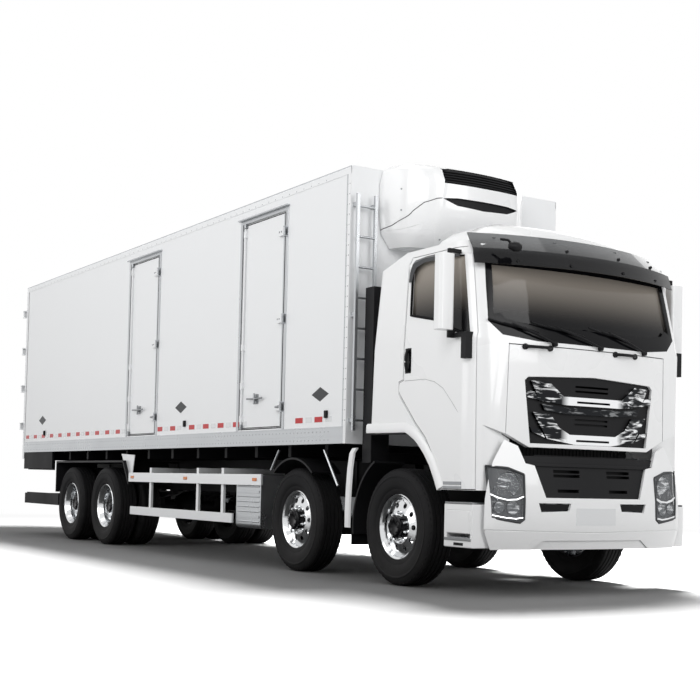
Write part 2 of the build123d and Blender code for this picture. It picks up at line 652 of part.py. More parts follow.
with BuildPart() as lower_grille:
    add(bumper_skin.part)
    front_prism(LOWER_GRILLE, A1 + 1000, A1 + 1500, Mode.INTERSECT)
    block(A1 + 1000, A1 + 1500, -900, 900, LOWER_GRILLE_TOP, 1400, Mode.SUBTRACT)
    for y0, y1, z0, z1 in GRILLE_SLOTS:
        for side in (-1, 1):
            block(A1 + 1000, A1 + 1500, side * y0, side * y1, z0, z1, Mode.SUBTRACT)
    with BuildPart(mode=Mode.PRIVATE) as lip:
        plan_loft(BUMPER_SECTIONS, 3)
        plan_loft(BUMPER_SECTIONS, 60, Mode.SUBTRACT)
        front_prism(GRILLE_LIP, A1 + 1210, A1 + 1500, Mode.INTERSECT)
        front_prism(LOWER_GRILLE, A1 + 1000, A1 + 1500, Mode.INTERSECT)
    add(lip.part)
save(lower_grille, "lower_grille")
with BuildPart() as fog_lamps:
    add(bumper_skin.part)
    both_prisms(FOG_OUTLINE, A1 + 1000, A1 + 1500, Mode.INTERSECT)
with BuildPart() as lamps:
    add(bumper_skin.part)
    both_prisms(LAMP_OUTLINE, A1 + 1000, A1 + 1500, Mode.INTERSECT)
    add(fog_lamps.part)
    for side in (-1, 1):
        block(BOX_REAR + 30, BOX_REAR + 90, side * 760, side * 1180, 1010, 1180)
save(lamps, "lamps")

# Entry steps below the doors, hung from the frame
with BuildPart() as step_boxes:
    for side in (-1, 1):
        block(A1 + 790, A1 + 1180, side * 900, side * 1215, 395, 755)
        block(A1 + 830, A1 + 1150, side * 1020, side * 1215, 470, 700, mode=Mode.SUBTRACT)
        block(A1 + 930, A1 + 1040, side * 430, side * 900, 640, 700)
        block(A1 + 930, A1 + 1040, side * 430, side * 470, 640, 900)
save(step_boxes, "step_boxes")

# Mudguards: curved shields behind and over the steered wheels, plates over the bogie
GUARD_T = 20
GUARD_ROWS = (
    # axle x, inner radius, angles from the rear horizontal at which the shield starts and ends
    (A1, 650, -8, 62),
    (A2, 610, 50, 130),
)
with BuildPart() as mudguards:
    for x, radius, start, end in GUARD_ROWS:
        for side in (-1, 1):
            with BuildSketch(side_plane(min(side * 880, side * 1215))):
                with BuildLine():
                    inner = CenterArc((x, WHEEL_Z), radius, 180 - end, end - start)
                    outer = CenterArc((x, WHEEL_Z), radius + GUARD_T, 180 - end, end - start)
                    Line(inner @ 0, outer @ 0)
                    Line(inner @ 1, outer @ 1)
                make_face()
            extrude(amount=-335)
            x_arm = x - 560 if start < 0 else x
            z_arm = 870 if start < 0 else WHEEL_Z + radius + 2
            block(x_arm - 15, x_arm + 15, side * 430, side * 900, z_arm, z_arm + 16)
            block(x_arm - 15, x_arm + 15, side * 430, side * 445, 860, z_arm + 16)
    for side in (-1, 1):
        with BuildSketch(side_plane(min(side * 610, side * 1245))):
            with BuildLine():
                Polyline(
                    (A4 - 640, 680), (A4 - 640, 1140), (A3 + 675, 1140), (A3 + 885, 830),
                    (A3 + 860, 830), (A3 + 660, 1115), (A4 - 616, 1115), (A4 - 616, 680),
                    close=True,
                )
            make_face()
        extrude(amount=-635)
        for x in (A3 + 610, A4 - 560):
            block(x - 12, x + 12, side * FRAME_Y, side * 640, 1115, 1140)
            block(x - 12, x + 12, side * FRAME_Y, side * 445, 900, 1140)
save(mudguards, "mudguards")

# Guards: two rails on bent posts along each side, tail bars and the underrun bar
GUARD_POST_X = (A1 - 5510, A1 - 4110, A1 - 3450)
with BuildPart() as guards:
    for side in (-1, 1):
        y0 = side * 1215
        y1 = side * 1240
        block(A1 - 6180, A1 - 2480, y0, y1, 862, 980)
        block(A1 - 6100, A1 - 3150, y0, y1, 440, 545)
        for x in GUARD_POST_X:
            block(x - 30, x + 30, side * 1185, y0, 440, 1045)
            block(x - 30, x + 30, side * 430, side * 1215, 985, 1045)
        block(BOX_REAR + 60, BOX_REAR + 130, side * 360, side * FRAME_Y, 560, 760)
        block(BOX_REAR + 140, BOX_REAR + 1650, side * 1190, side * 1225, 480, 655)
        block(BOX_REAR + 40, BOX_REAR + 140, side * 1160, side * 1225, 480, 640)
        block(BOX_REAR + 1500, BOX_REAR + 1560, side * 430, side * 1200, 590, 650)
        block(BOX_REAR + 1500, BOX_REAR + 1560, side * 430, side * 470, 590, 900)
        block(BOX_REAR + 90, BOX_REAR + 1450, side * 1235, side * 1270, 1020, BOX_BOTTOM)
    block(BOX_REAR + 40, BOX_REAR + 140, -1180, 1180, 480, 640)
save(guards, "guards")

# Ribbed tank on the right and fuel tank on the left
TANK_X = (A1 - 3110, A1 - 2535)
with BuildPart() as side_tanks:
    block(*TANK_X, -1205, -640, 395, 975)
    fillet(side_tanks.edges().filter_by(Axis.X), 50)
    for z in (520, 790):
        block(TANK_X[0] + 30, TANK_X[1] - 30, -1212, -1190, z - 14, z + 14)
    for x in (TANK_X[0] + 100, TANK_X[1] - 100):
        block(x - 30, x + 30, -660, -430, 800, 940)
    with BuildPart(mode=Mode.PRIVATE) as fuel_tank:
        block(A1 - 4000, A1 - 2700, 640, 1180, 400, 975)
        fillet(fuel_tank.edges().filter_by(Axis.X), 110)
    add(fuel_tank.part)
    for x in (A1 - 3800, A1 - 2900):
        block(x - 30, x + 30, 430, 660, 760, 940)
save(side_tanks, "side_tanks")

# Ladder on the front wall and the engine air intake behind the cab
with BuildPart() as ladder:
    for y in (-1235, -1035):
        block(BOX_FRONT + 55, BOX_FRONT + 85, y - 15, y + 15, 1400, 3650)
        for z in (1500, 2500, 3550):
            block(BOX_FRONT, BOX_FRONT + 60, y - 15, y + 15, z - 20, z + 20)
    for i in range(8):
        shaft(BOX_FRONT + 70, -1135, 1500 + i * 290, 12, 200)
save(ladder, "ladder")
with BuildPart() as air_intake:
    block(BOX_FRONT + 120, BOX_FRONT + 270, -1160, -960, 1100, 2750)
    block(BOX_FRONT + 150, BOX_FRONT + 240, -970, -430, 1100, 1200)
    block(BOX_FRONT + 150, BOX_FRONT + 240, -470, -430, 1000, 1200)
    block(BOX_FRONT, BOX_FRONT + 130, -1010, -965, 2300, 2360)
save(air_intake, "air_intake")

# Cooler on the upper front wall
COOLER_Y = -60
COOLER_SECTIONS = (
    (3175, A1 - 420, BOX_FRONT, 760, 110, 110, 25),
    (3300, A1 - 270, BOX_FRONT, 865, 170, 190, 25),
    (3480, A1 - 170, BOX_FRONT, 895, 200, 230, 25),
    (3790, A1 - 165, BOX_FRONT, 895, 200, 230, 25),
    (3915, A1 - 235, BOX_FRONT, 860, 180, 210, 25),
    (3975, A1 - 400, BOX_FRONT, 760, 110, 130, 25),
)
COOLER_MOUTH = [
    (430, 3905), (440, 3765), (0, 3760), (-440, 3765), (-430, 3905), (-330, 3938), (330, 3938),
]
COOLER_SLIT = [
    (460, 3618), (300, 3560), (0, 3542), (-300, 3560), (-460, 3618), (-300, 3632), (300, 3632),
]
COOLER_SEAM = [
    (1200, 3300), (930, 3300), (760, 3390), (610, 3560), (460, 3610), (460, 3618), (606, 3568),
    (752, 3396), (926, 3308), (1200, 3308),
]
with BuildPart() as cooler_body:
    plan_loft(COOLER_SECTIONS)
    for outline, depth in ((COOLER_MOUTH, 28), (COOLER_SLIT, 24)):
        with BuildPart(mode=Mode.PRIVATE) as recess:
            front_prism(outline, A1 - 600, A1 + 100)
            plan_loft(COOLER_SECTIONS, depth, Mode.SUBTRACT)
        add(recess.part, mode=Mode.SUBTRACT)
    with BuildPart(mode=Mode.PRIVATE) as seam:
        both_prisms(COOLER_SEAM, BOX_FRONT + 20, A1 + 100)
        plan_loft(COOLER_SECTIONS, 7, Mode.SUBTRACT)
    add(seam.part, mode=Mode.SUBTRACT)
    with BuildPart(mode=Mode.PRIVATE) as louvres:
        for z in range(3780, 3920, 28):
            block(A1 - 400, A1 + 100, -440, 440, z, z + 8)
        front_prism(COOLER_MOUTH, A1 - 600, A1 + 100, Mode.INTERSECT)
        plan_loft(COOLER_SECTIONS, 12, Mode.INTERSECT)
    add(louvres.part)
with BuildPart() as cooler_housing:
    add(cooler_body.part.moved(Location((0, COOLER_Y, 0))))
save(cooler_housing, "cooler_housing")
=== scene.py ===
"""Refrigerated four-axle truck: finishes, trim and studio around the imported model.

Everything is in metres in the model's own frame: +X towards the cab, +Y to the vehicle's left,
+Z up, with the origin on the ground below the middle of the vehicle.
"""

import json
import logging
import math
from dataclasses import dataclass, field
from enum import Enum
from functools import cache
from typing import Callable, Mapping, Sequence

import bmesh
import bpy
from mathutils import Matrix, Vector
from mathutils.bvhtree import BVHTree

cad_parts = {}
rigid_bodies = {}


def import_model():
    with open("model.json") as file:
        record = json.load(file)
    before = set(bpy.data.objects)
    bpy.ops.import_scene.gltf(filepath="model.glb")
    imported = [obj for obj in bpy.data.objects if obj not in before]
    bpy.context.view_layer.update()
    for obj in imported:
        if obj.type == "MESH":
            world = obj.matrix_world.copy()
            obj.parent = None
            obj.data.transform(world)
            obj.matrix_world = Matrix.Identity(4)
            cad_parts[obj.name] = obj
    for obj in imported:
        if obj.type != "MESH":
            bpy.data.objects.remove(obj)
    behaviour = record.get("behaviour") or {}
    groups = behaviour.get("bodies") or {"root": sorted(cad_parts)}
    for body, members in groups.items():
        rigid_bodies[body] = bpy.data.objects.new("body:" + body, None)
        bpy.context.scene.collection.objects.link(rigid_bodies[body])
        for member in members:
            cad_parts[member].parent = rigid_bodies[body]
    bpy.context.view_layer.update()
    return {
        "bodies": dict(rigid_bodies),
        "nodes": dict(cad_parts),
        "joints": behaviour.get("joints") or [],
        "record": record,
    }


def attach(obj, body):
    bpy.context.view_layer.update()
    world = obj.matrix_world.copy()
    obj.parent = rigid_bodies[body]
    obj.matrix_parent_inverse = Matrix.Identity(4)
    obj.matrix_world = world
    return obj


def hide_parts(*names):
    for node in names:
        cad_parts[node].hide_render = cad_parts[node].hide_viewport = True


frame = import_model()
LOG = logging.getLogger("truck")

Point = tuple[float, float, float]
Pair = tuple[float, float]
Zone = tuple["Finish | Glazing", Callable[[Vector, Vector], bool]]

AXLE_1 = 4.66
AXLE_2 = AXLE_1 - 1.85
AXLE_3 = AXLE_2 - 5.2
AXLE_4 = AXLE_3 - 1.35
AXLES = (AXLE_1, AXLE_2, AXLE_3, AXLE_4)
WHEEL_Z = 0.525
BOX_SIDE_Y = 1.27
BOX_FRONT_X = AXLE_1 - 0.73
BOX_REAR_X = -5.95


class Side(Enum):
    """The two sides of the vehicle, with the sign of Y."""

    RIGHT = -1
    LEFT = 1

    @property
    def word(self) -> str:
        """Name used in node and body names."""
        return self.name.lower()


class Wiring:
    """A node tree with short ways to add and join its nodes."""

    def __init__(self, tree: bpy.types.NodeTree) -> None:
        """Start on a node tree."""
        self.tree = tree

    def add(self, kind: str, inputs: Mapping[str | int, object] | None = None,
            **settings: object) -> bpy.types.Node:
        """Add a node.

        Args:
            kind: Type of the node.
            inputs: Values of its inputs, by name or number.
            **settings: Values of its properties.

        Returns:
            The node.
        """
        node = self.tree.nodes.new(kind)
        for key, value in settings.items():
            setattr(node, key, value)
        for key, value in (inputs or {}).items():
            node.inputs[key].default_value = value
        return node

    def join(self, *runs: tuple[bpy.types.Node, str | int, bpy.types.Node, str | int]) -> None:
        """Link outputs to inputs, each given as node, output, node and input."""
        for source, out, target, into in runs:
            self.tree.links.new(source.outputs[out], target.inputs[into])


class NodeGroups:
    """Shader node groups that several finishes share, each built once."""

    @staticmethod
    def start(name: str, inputs: Mapping[str, float], outputs: Sequence[str]) -> tuple:
        """Make an empty group of float sockets.

        Args:
            name: Name of the group.
            inputs: Name and default of each input.
            outputs: Name of each output.

        Returns:
            The group's wiring, its input node and its output node.
        """
        tree = bpy.data.node_groups.new(name, "ShaderNodeTree")
        for label, value in inputs.items():
            socket = tree.interface.new_socket(
                label, in_out="INPUT", socket_type="NodeSocketFloat")
            socket.default_value = value
        for label in outputs:
            tree.interface.new_socket(label, in_out="OUTPUT", socket_type="NodeSocketFloat")
        wiring = Wiring(tree)
        return wiring, wiring.add("NodeGroupInput"), wiring.add("NodeGroupOutput")

    @staticmethod
    @cache
    def grain() -> bpy.types.NodeTree:
        """Fine noise as a height and a roughness shift.

        Returns:
            The group with Scale and Amount in, Height and Spread out.
        """
        wiring, entry, leave = NodeGroups.start(
            "grain", {"Scale": 60.0, "Amount": 0.1}, ("Height", "Spread"))
        coords = wiring.add("ShaderNodeTexCoord")
        fine = wiring.add("ShaderNodeTexNoise", {"Detail": 3.0})
        broad = wiring.add("ShaderNodeTexNoise", {"Scale": 1.7, "Detail": 2.0})
        centre = wiring.add("ShaderNodeMath", {1: 0.5}, operation="SUBTRACT")
        scaled = wiring.add("ShaderNodeMath", operation="MULTIPLY")
        wiring.join(
            (coords, "Object", fine, "Vector"), (coords, "Object", broad, "Vector"),
            (entry, "Scale", fine, "Scale"), (broad, "Fac", centre, 0),
            (centre, 0, scaled, 0), (entry, "Amount", scaled, 1),
            (fine, "Fac", leave, "Height"), (scaled, 0, leave, "Spread"))
        return wiring.tree

    @staticmethod
    @cache
    def road_dust() -> bpy.types.NodeTree:
        """Mask of the dust that gathers low on the vehicle, broken up by noise.

        Returns:
            The group with Top and Amount in, Mask out.
        """
        wiring, entry, leave = NodeGroups.start(
            "road_dust", {"Top": 1.0, "Amount": 0.3}, ("Mask",))
        coords = wiring.add("ShaderNodeTexCoord")
        parts = wiring.add("ShaderNodeSeparateXYZ")
        noise = wiring.add("ShaderNodeTexNoise", {"Scale": 6.0, "Detail": 5.0})
        reach = wiring.add("ShaderNodeMapRange", {"From Max": 0.0})
        mixed = wiring.add("ShaderNodeMath", operation="MULTIPLY")
        amount = wiring.add("ShaderNodeMath", operation="MULTIPLY")
        wiring.join(
            (coords, "Object", parts, 0), (coords, "Object", noise, "Vector"),
            (parts, "Z", reach, "Value"), (entry, "Top", reach, "From Min"),
            (reach, "Result", mixed, 0), (noise, "Fac", mixed, 1), (mixed, 0, amount, 0),
            (entry, "Amount", amount, 1), (amount, 0, leave, "Mask"))
        return wiring.tree

    @staticmethod
    @cache
    def streaks() -> bpy.types.NodeTree:
        """Mask of dark wavy bands, a painted reflection such as polished metal shows of its
        surroundings.

        Returns:
            The group with Start and End in, Mask out; the painted reflection fades in between these
            distances from the centre line.
        """
        wiring, entry, leave = NodeGroups.start(
            "streaks", {"Start": 0.3, "End": 0.4}, ("Mask",))
        coords = wiring.add("ShaderNodeTexCoord")
        parts = wiring.add("ShaderNodeSeparateXYZ")
        squeezed = wiring.add(
            "ShaderNodeVectorMath", {1: (5.0, 7.0, 34.0)}, operation="MULTIPLY")
        noise = wiring.add(
            "ShaderNodeTexNoise", {"Scale": 1.0, "Detail": 3.0, "Distortion": 0.7})
        cut = wiring.add("ShaderNodeMapRange", {"From Min": 0.36, "From Max": 0.50})
        across = wiring.add("ShaderNodeMath", operation="ABSOLUTE")
        fade = wiring.add("ShaderNodeMapRange")
        mixed = wiring.add("ShaderNodeMath", operation="MULTIPLY")
        wiring.join(
            (coords, "Object", squeezed, 0), (coords, "Object", parts, 0),
            (squeezed, "Vector", noise, "Vector"), (noise, "Fac", cut, "Value"),
            (parts, "Y", across, 0), (across, 0, fade, "Value"),
            (entry, "Start", fade, "From Min"), (entry, "End", fade, "From Max"),
            (cut, "Result", mixed, 0), (fade, "Result", mixed, 1),
            (mixed, 0, leave, "Mask"))
        return wiring.tree


def blank(name: str, values: Mapping[str, object]) -> tuple:
    """Make a material with a Principled shader.

    Args:
        name: Name of the finish.
        values: Inputs of the shader.

    Returns:
        The material, its wiring and the shader.
    """
    made = bpy.data.materials.new(f"{name}_finish")
    made.use_nodes = True
    shader = made.node_tree.nodes["Principled BSDF"]
    for key, value in values.items():
        shader.inputs[key].default_value = value
    return made, Wiring(made.node_tree), shader


def blend_colors(wiring: Wiring, shader: bpy.types.Node, mask: tuple[bpy.types.Node, str],
                 first: Point, second: Point) -> None:
    """Let a mask choose between two base colours.

    Args:
        wiring: Wiring of the material.
        shader: Its shader.
        mask: Node and output that give the mask.
        first: Colour where the mask is 0.
        second: Colour where it is 1.
    """
    mix = wiring.add(
        "ShaderNodeMix", {6: (*first, 1.0), 7: (*second, 1.0)}, data_type="RGBA")
    wiring.join((*mask, mix, 0), (mix, 2, shader, "Base Color"))


@dataclass(frozen=True)
class Finish:
    """A surface finish, built as one Principled material with grain, dust and, on some, a painted
    reflection.
    """

    name: str
    color: Point
    roughness: float = 0.4
    metallic: float = 0.0
    coat: float = 0.0
    specular: float = 0.5
    grain_scale: float = 60.0
    grain_depth: float = 0.0
    spread: float = 0.1
    dust_top: float = 0.0
    dust: float = 0.0
    dust_color: Point = (0.42, 0.40, 0.37)
    # Distances from the centre line where a painted reflection fades in, and its dark colour
    streaks: Pair | None = None
    streak_color: Point = (0.02, 0.021, 0.023)

    @cache
    def build(self) -> bpy.types.Material:
        """Make the material, once."""
        made, wiring, shader = blank(self.name, {
            "Base Color": (*self.color, 1.0), "Metallic": self.metallic,
            "Coat Weight": self.coat, "Coat Roughness": 0.04,
            "Specular IOR Level": self.specular})
        grain = wiring.add("ShaderNodeGroup", node_tree=NodeGroups.grain())
        grain.inputs["Scale"].default_value = self.grain_scale
        grain.inputs["Amount"].default_value = self.spread
        rough = wiring.add(
            "ShaderNodeMath", {1: self.roughness}, operation="ADD", use_clamp=True)
        wiring.join((grain, "Spread", rough, 0), (rough, 0, shader, "Roughness"))
        if self.grain_depth:
            bump = wiring.add(
                "ShaderNodeBump", {"Strength": 0.35, "Distance": self.grain_depth})
            wiring.join((grain, "Height", bump, "Height"), (bump, "Normal", shader, "Normal"))
        # Painted reflection: dark wavy bands blended into the base colour
        if self.streaks:
            dark = wiring.add(
                "ShaderNodeGroup", node_tree=NodeGroups.streaks())
            dark.inputs["Start"].default_value, dark.inputs["End"].default_value = self.streaks
            blend_colors(wiring, shader, (dark, "Mask"), self.color, self.streak_color)
        if self.dust:
            dust = wiring.add("ShaderNodeGroup", node_tree=NodeGroups.road_dust())
            dust.inputs["Top"].default_value = self.dust_top
            dust.inputs["Amount"].default_value = self.dust
            blend_colors(wiring, shader, (dust, "Mask"), self.color, self.dust_color)
        return made


@dataclass(frozen=True)
class Glazing:
    """Tinted glass: a thin dark pane that lets a little of the inside show."""

    name: str
    color: Point
    alpha: float = 0.8
    roughness: float = 0.03
    specular: float = 0.18
    top: Point | None = None
    span: Pair = (0.0, 1.0)

    @cache
    def build(self) -> bpy.types.Material:
        """Make the material, once."""
        made, wiring, shader = blank(self.name, {
            "Base Color": (*self.color, 1.0), "Roughness": self.roughness,
            "Alpha": self.alpha, "Specular IOR Level": self.specular})
        # Colour shifts towards top with height; on the smoked visor this lighter top is a painted
        # reflection
        if self.top:
            coords = wiring.add("ShaderNodeTexCoord")
            parts = wiring.add("ShaderNodeSeparateXYZ")
            reach = wiring.add(
                "ShaderNodeMapRange", {"From Min": self.span[0], "From Max": self.span[1]},
                interpolation_type="SMOOTHSTEP")
            wiring.join((coords, "Object", parts, 0), (parts, "Z", reach, "Value"))
            blend_colors(wiring, shader, (reach, "Result"), self.color, self.top)
        return made


WHITE_PAINT = Finish("white_paint", (0.86, 0.865, 0.87), 0.28, coat=0.6, spread=0.05,
                     grain_scale=180, grain_depth=0.0002, dust_top=0.9, dust=0.12)
WHITE_PANEL = Finish("white_panel", (0.84, 0.85, 0.86), 0.36, coat=0.15, spread=0.08,
                     grain_scale=30, grain_depth=0.0004)
WHITE_PLASTIC = Finish("white_plastic", (0.85, 0.855, 0.86), 0.35, coat=0.2, spread=0.08)
BLACK_PLASTIC = Finish("black_plastic", (0.011, 0.011, 0.012), 0.42, specular=0.12,
                       spread=0.12, grain_scale=240, grain_depth=0.00008)
BLACK_GLOSS = Finish("black_gloss", (0.004, 0.004, 0.005), 0.14, specular=0.14, spread=0.04)
BLACK_RUBBER = Finish("black_rubber", (0.008, 0.008, 0.009), 0.62, specular=0.06,
                      spread=0.15, grain_scale=260, grain_depth=0.0001)
TYRE_RUBBER = Finish("tyre_rubber", (0.008, 0.008, 0.009), 0.62, specular=0.10, spread=0.16,
                     grain_scale=140, grain_depth=0.0008, dust_top=1.2, dust=0.05)
CHASSIS = Finish("chassis_paint", (0.006, 0.006, 0.007), 0.5, specular=0.08, spread=0.2,
                 grain_scale=90, grain_depth=0.0003, dust_top=1.4, dust=0.03)
GREY_STEEL = Finish("grey_steel", (0.30, 0.31, 0.32), 0.34, metallic=0.85, spread=0.25,
                    grain_scale=160, grain_depth=0.0006)
ALUMINIUM = Finish("aluminium", (0.50, 0.515, 0.53), 0.30, metallic=0.9, spread=0.3,
                   grain_scale=220, grain_depth=0.0005)
GUARD_ALUMINIUM = Finish("guard_aluminium", (0.80, 0.81, 0.82), 0.34, metallic=0.35,
                         spread=0.14, grain_scale=220, grain_depth=0.0003, dust_top=1.1,
                         dust=0.12)
POLISHED = Finish("polished_aluminium", (0.70, 0.71, 0.72), 0.12, metallic=1.0, spread=0.2,
                  grain_scale=14, grain_depth=0.004)
CHROME = Finish("chrome", (0.78, 0.79, 0.80), 0.06, metallic=1.0, spread=0.06,
                grain_scale=9, grain_depth=0.004)
FLOOR_BOARD = Finish("floor_board", (0.20, 0.20, 0.21), 0.6, spread=0.2, grain_depth=0.001)
SEAT_CLOTH = Finish("seat_cloth", (0.05, 0.052, 0.058), 0.85, specular=0.2, grain_scale=900,
                    grain_depth=0.001)
GREY_TRIM = Finish("grey_trim", (0.050, 0.052, 0.055), 0.40, specular=0.2, spread=0.1)
LEDGE_GREY = Finish("ledge_grey", (0.22, 0.225, 0.23), 0.35, metallic=0.5, spread=0.15)
# Grey of a line of painted shade along the fold above each front wheel arch
CREASE_SHADE = Finish("crease", (0.46, 0.465, 0.47), 0.45, specular=0.2)
SEAM_GREY = Finish("seam_grey", (0.10, 0.102, 0.105), 0.6, specular=0.1)
RED_REFLECTOR = Finish("red_reflector", (0.50, 0.008, 0.012), 0.30, specular=0.25, coat=0.2)
WHITE_REFLECTOR = Finish("white_reflector", (0.74, 0.75, 0.76), 0.25, coat=0.4)
# These three chromes carry a painted reflection of dark wavy bands in their base colour
DARK_CHROME = Finish("dark_chrome", (0.22, 0.225, 0.23), 0.14, metallic=1.0, spread=0.2,
                     streaks=(-0.01, 0.0))
WING_CHROME = Finish("wing_chrome", (0.86, 0.87, 0.88), 0.08, metallic=1.0, spread=0.05,
                     streaks=(0.28, 0.36))
LAMP_CHROME = Finish("lamp_chrome", (0.62, 0.63, 0.64), 0.10, metallic=1.0, spread=0.05,
                     streaks=(-0.01, 0.0), streak_color=(0.10, 0.105, 0.11))
RED_LENS = Finish("red_lens", (0.36, 0.008, 0.008), 0.12, specular=0.4, coat=0.5)
AMBER_LENS = Finish("amber_lens", (0.62, 0.16, 0.01), 0.18, specular=0.4, coat=0.4)
LENS = Glazing("clear_lens", (0.85, 0.88, 0.92), 0.05, 0.02, specular=0.5)
DARK_GLASS = Glazing("cab_glass", (0.004, 0.004, 0.005), 0.95,
                     top=(0.34, 0.305, 0.265), span=(2.30, 2.84))
# Smoked visor plastic; its lighter grey upper part is a painted reflection
SMOKED_WITH_PAINTED_REFLECTION = Glazing("smoked_plastic", (0.005, 0.005, 0.006), 0.88, 0.06, specular=0.3,
                 top=(0.11, 0.115, 0.12), span=(2.84, 3.06))

NODE_FINISHES: dict[str, Finish | Glazing] = {
    "white_paint": WHITE_PAINT, "white_panel": WHITE_PANEL, "aluminium": ALUMINIUM,
    "frame_steel": GUARD_ALUMINIUM, "chassis_paint": CHASSIS, "floor_board": FLOOR_BOARD,
    "black_plastic": BLACK_PLASTIC, "seat_fabric": SEAT_CLOTH, "glass": DARK_GLASS,
    "lamp": CHROME, "tyre": TYRE_RUBBER, "rim_alloy": POLISHED,
}


class Shop:
    """Mesh helpers that every sub-assembly uses."""

    @staticmethod
    def bevel(made: bpy.types.Object, width: float, angle: float) -> bpy.types.BevelModifier:
        """Round a piece's edges.

        Args:
            made: The piece.
            width: Width of the rounded edges.
            angle: Angle in degrees below which an edge stays as it is.

        Returns:
            The modifier.
        """
        soft = made.modifiers.new("edges", "BEVEL")
        soft.width = width
        soft.segments = 2
        soft.limit_method = "ANGLE"
        soft.angle_limit = math.radians(angle)
        return soft

    @staticmethod
    def piece(name: str, mesh: bmesh.types.BMesh, finish: Finish | Glazing, body: str,
              smooth: float = 35.0, bevel: float = 0.0,
              sheet: float = 0.0) -> bpy.types.Object:
        """Turn a bmesh into a piece that rides on a body.

        Args:
            name: Name of the piece.
            mesh: Its bmesh, which is freed.
            finish: Its finish.
            body: Body that it rides on.
            smooth: Angle in degrees above which an edge stays sharp.
            bevel: Width of its rounded edges, if it has any.
            sheet: Thickness that an open sheet gets.

        Returns:
            The new object.
        """
        bmesh.ops.remove_doubles(mesh, verts=mesh.verts, dist=1e-5)
        bmesh.ops.recalc_face_normals(mesh, faces=mesh.faces)
        limit = math.radians(smooth)
        for edge in mesh.edges:
            edge.smooth = len(edge.link_faces) == 2 and edge.calc_face_angle(9.0) < limit
        for face in mesh.faces:
            face.smooth = True
        data = bpy.data.meshes.new(name)
        mesh.to_mesh(data)
        mesh.free()
        data.materials.append(finish.build())
        made = bpy.data.objects.new(name, data)
        bpy.context.scene.collection.objects.link(made)
        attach(made, body)
        if bevel:
            Shop.bevel(made, bevel, 40)
        if sheet:
            made.modifiers.new("sheet", "SOLIDIFY").thickness = sheet
        return made

    @staticmethod
    def refined(node: str, finish: Finish | Glazing, bevel: float = 0.004,
                zones: Sequence[Zone] = ()) -> bpy.types.Object:
        """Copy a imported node, merge it, round its edges and let the copy stand for it.

        Args:
            node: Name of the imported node.
            finish: Its finish.
            bevel: Width of the rounded edges in metres.
            zones: Finishes of some faces, each with its test.

        Returns:
            The new object.
        """
        mesh = bmesh.new()
        mesh.from_mesh(frame["nodes"][node].data)
        bmesh.ops.remove_doubles(mesh, verts=mesh.verts, dist=2e-5)
        bmesh.ops.dissolve_limit(
            mesh, angle_limit=math.radians(0.6), verts=mesh.verts, edges=mesh.edges)
        for number, (_, test) in enumerate(zones, 1):
            for face in mesh.faces:
                if not face.material_index and test(face.calc_center_median(), face.normal):
                    face.material_index = number
        body = next(b for b, nodes in frame["record"]["behaviour"]["bodies"].items()
                    if node in nodes)
        made = Shop.piece(f"{node}_skin", mesh, finish, body)
        for extra, _ in zones:
            made.data.materials.append(extra.build())
        if bevel:
            Shop.bevel(made, bevel, 34).harden_normals = True
        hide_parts(node)
        return made

    @staticmethod
    def block(mesh: bmesh.types.BMesh, corner: Point, opposite: Point) -> None:
        """Add a box given by any two opposite corners to a bmesh."""
        size = Vector(opposite) - Vector(corner)
        place = Matrix.Translation((Vector(opposite) + Vector(corner)) / 2) @ Matrix.Diagonal(
            (*(abs(v) for v in size), 1.0))
        bmesh.ops.create_cube(mesh, size=1.0, matrix=place)

    @staticmethod
    def rod(mesh: bmesh.types.BMesh, start: Point, end: Point, radius: float,
            sides: int = 12, tip: float | None = None) -> None:
        """Add a round bar between two points to a bmesh."""
        a, b = Vector(start), Vector(end)
        turn = (b - a).to_track_quat("Z", "Y").to_matrix().to_4x4()
        place = Matrix.Translation((a + b) / 2) @ turn
        bmesh.ops.create_cone(
            mesh, cap_ends=True, segments=sides, radius1=radius,
            radius2=radius if tip is None else tip, depth=(b - a).length, matrix=place)

    @staticmethod
    def bridge(mesh: bmesh.types.BMesh, rows: Sequence[Sequence[bmesh.types.BMVert]],
               closed: bool = True, caps: bool = False) -> None:
        """Join rows of vertices with faces.

        Args:
            mesh: The bmesh that holds the vertices.
            rows: The rows, each as long as the others.
            closed: Whether the last vertex of a row joins its first.
            caps: Whether the first and last row are filled.
        """
        for a, b in zip(rows, rows[1:]):
            for k in range(len(a) if closed else len(a) - 1):
                n = (k + 1) % len(a)
                mesh.faces.new((a[k], a[n], b[n], b[k]))
        if caps:
            mesh.faces.new(list(reversed(rows[0])))
            mesh.faces.new(rows[-1])

    @staticmethod
    def tube(mesh: bmesh.types.BMesh, points: Sequence[Point], radius: float,
             sides: int = 10) -> None:
        """Sweep a round section along a run of points.

        Args:
            mesh: The bmesh to add to.
            points: Centre line of the tube.
            radius: Radius of the tube.
            sides: Faces round the tube.
        """
        rings = []
        path = [Vector(p) for p in points]
        for i, point in enumerate(path):
            ahead = path[min(i + 1, len(path) - 1)] - path[max(i - 1, 0)]
            turn = ahead.to_track_quat("Z", "Y")
            angles = [math.tau * k / sides for k in range(sides)]
            rings.append([mesh.verts.new(
                point + turn @ (Vector((math.cos(a), math.sin(a), 0.0)) * radius))
                for a in angles])
        Shop.bridge(mesh, rings, caps=True)

    @staticmethod
    def lathe(mesh: bmesh.types.BMesh, profile: Sequence[Pair], centre: Point,
              steps: int = 64) -> None:
        """Turn a closed profile of (radius, y) points about an axle.

        Args:
            mesh: The bmesh to add to.
            profile: Points as radius and offset along Y from the centre.
            centre: Middle of the wheel.
            steps: Faces round the axle.
        """
        rings = []
        for step in range(steps):
            angle = math.tau * step / steps
            rings.append([
                mesh.verts.new((centre[0] + r * math.cos(angle), centre[1] + y,
                                centre[2] + r * math.sin(angle)))
                for r, y in profile])
        Shop.bridge(mesh, [*rings, rings[0]])


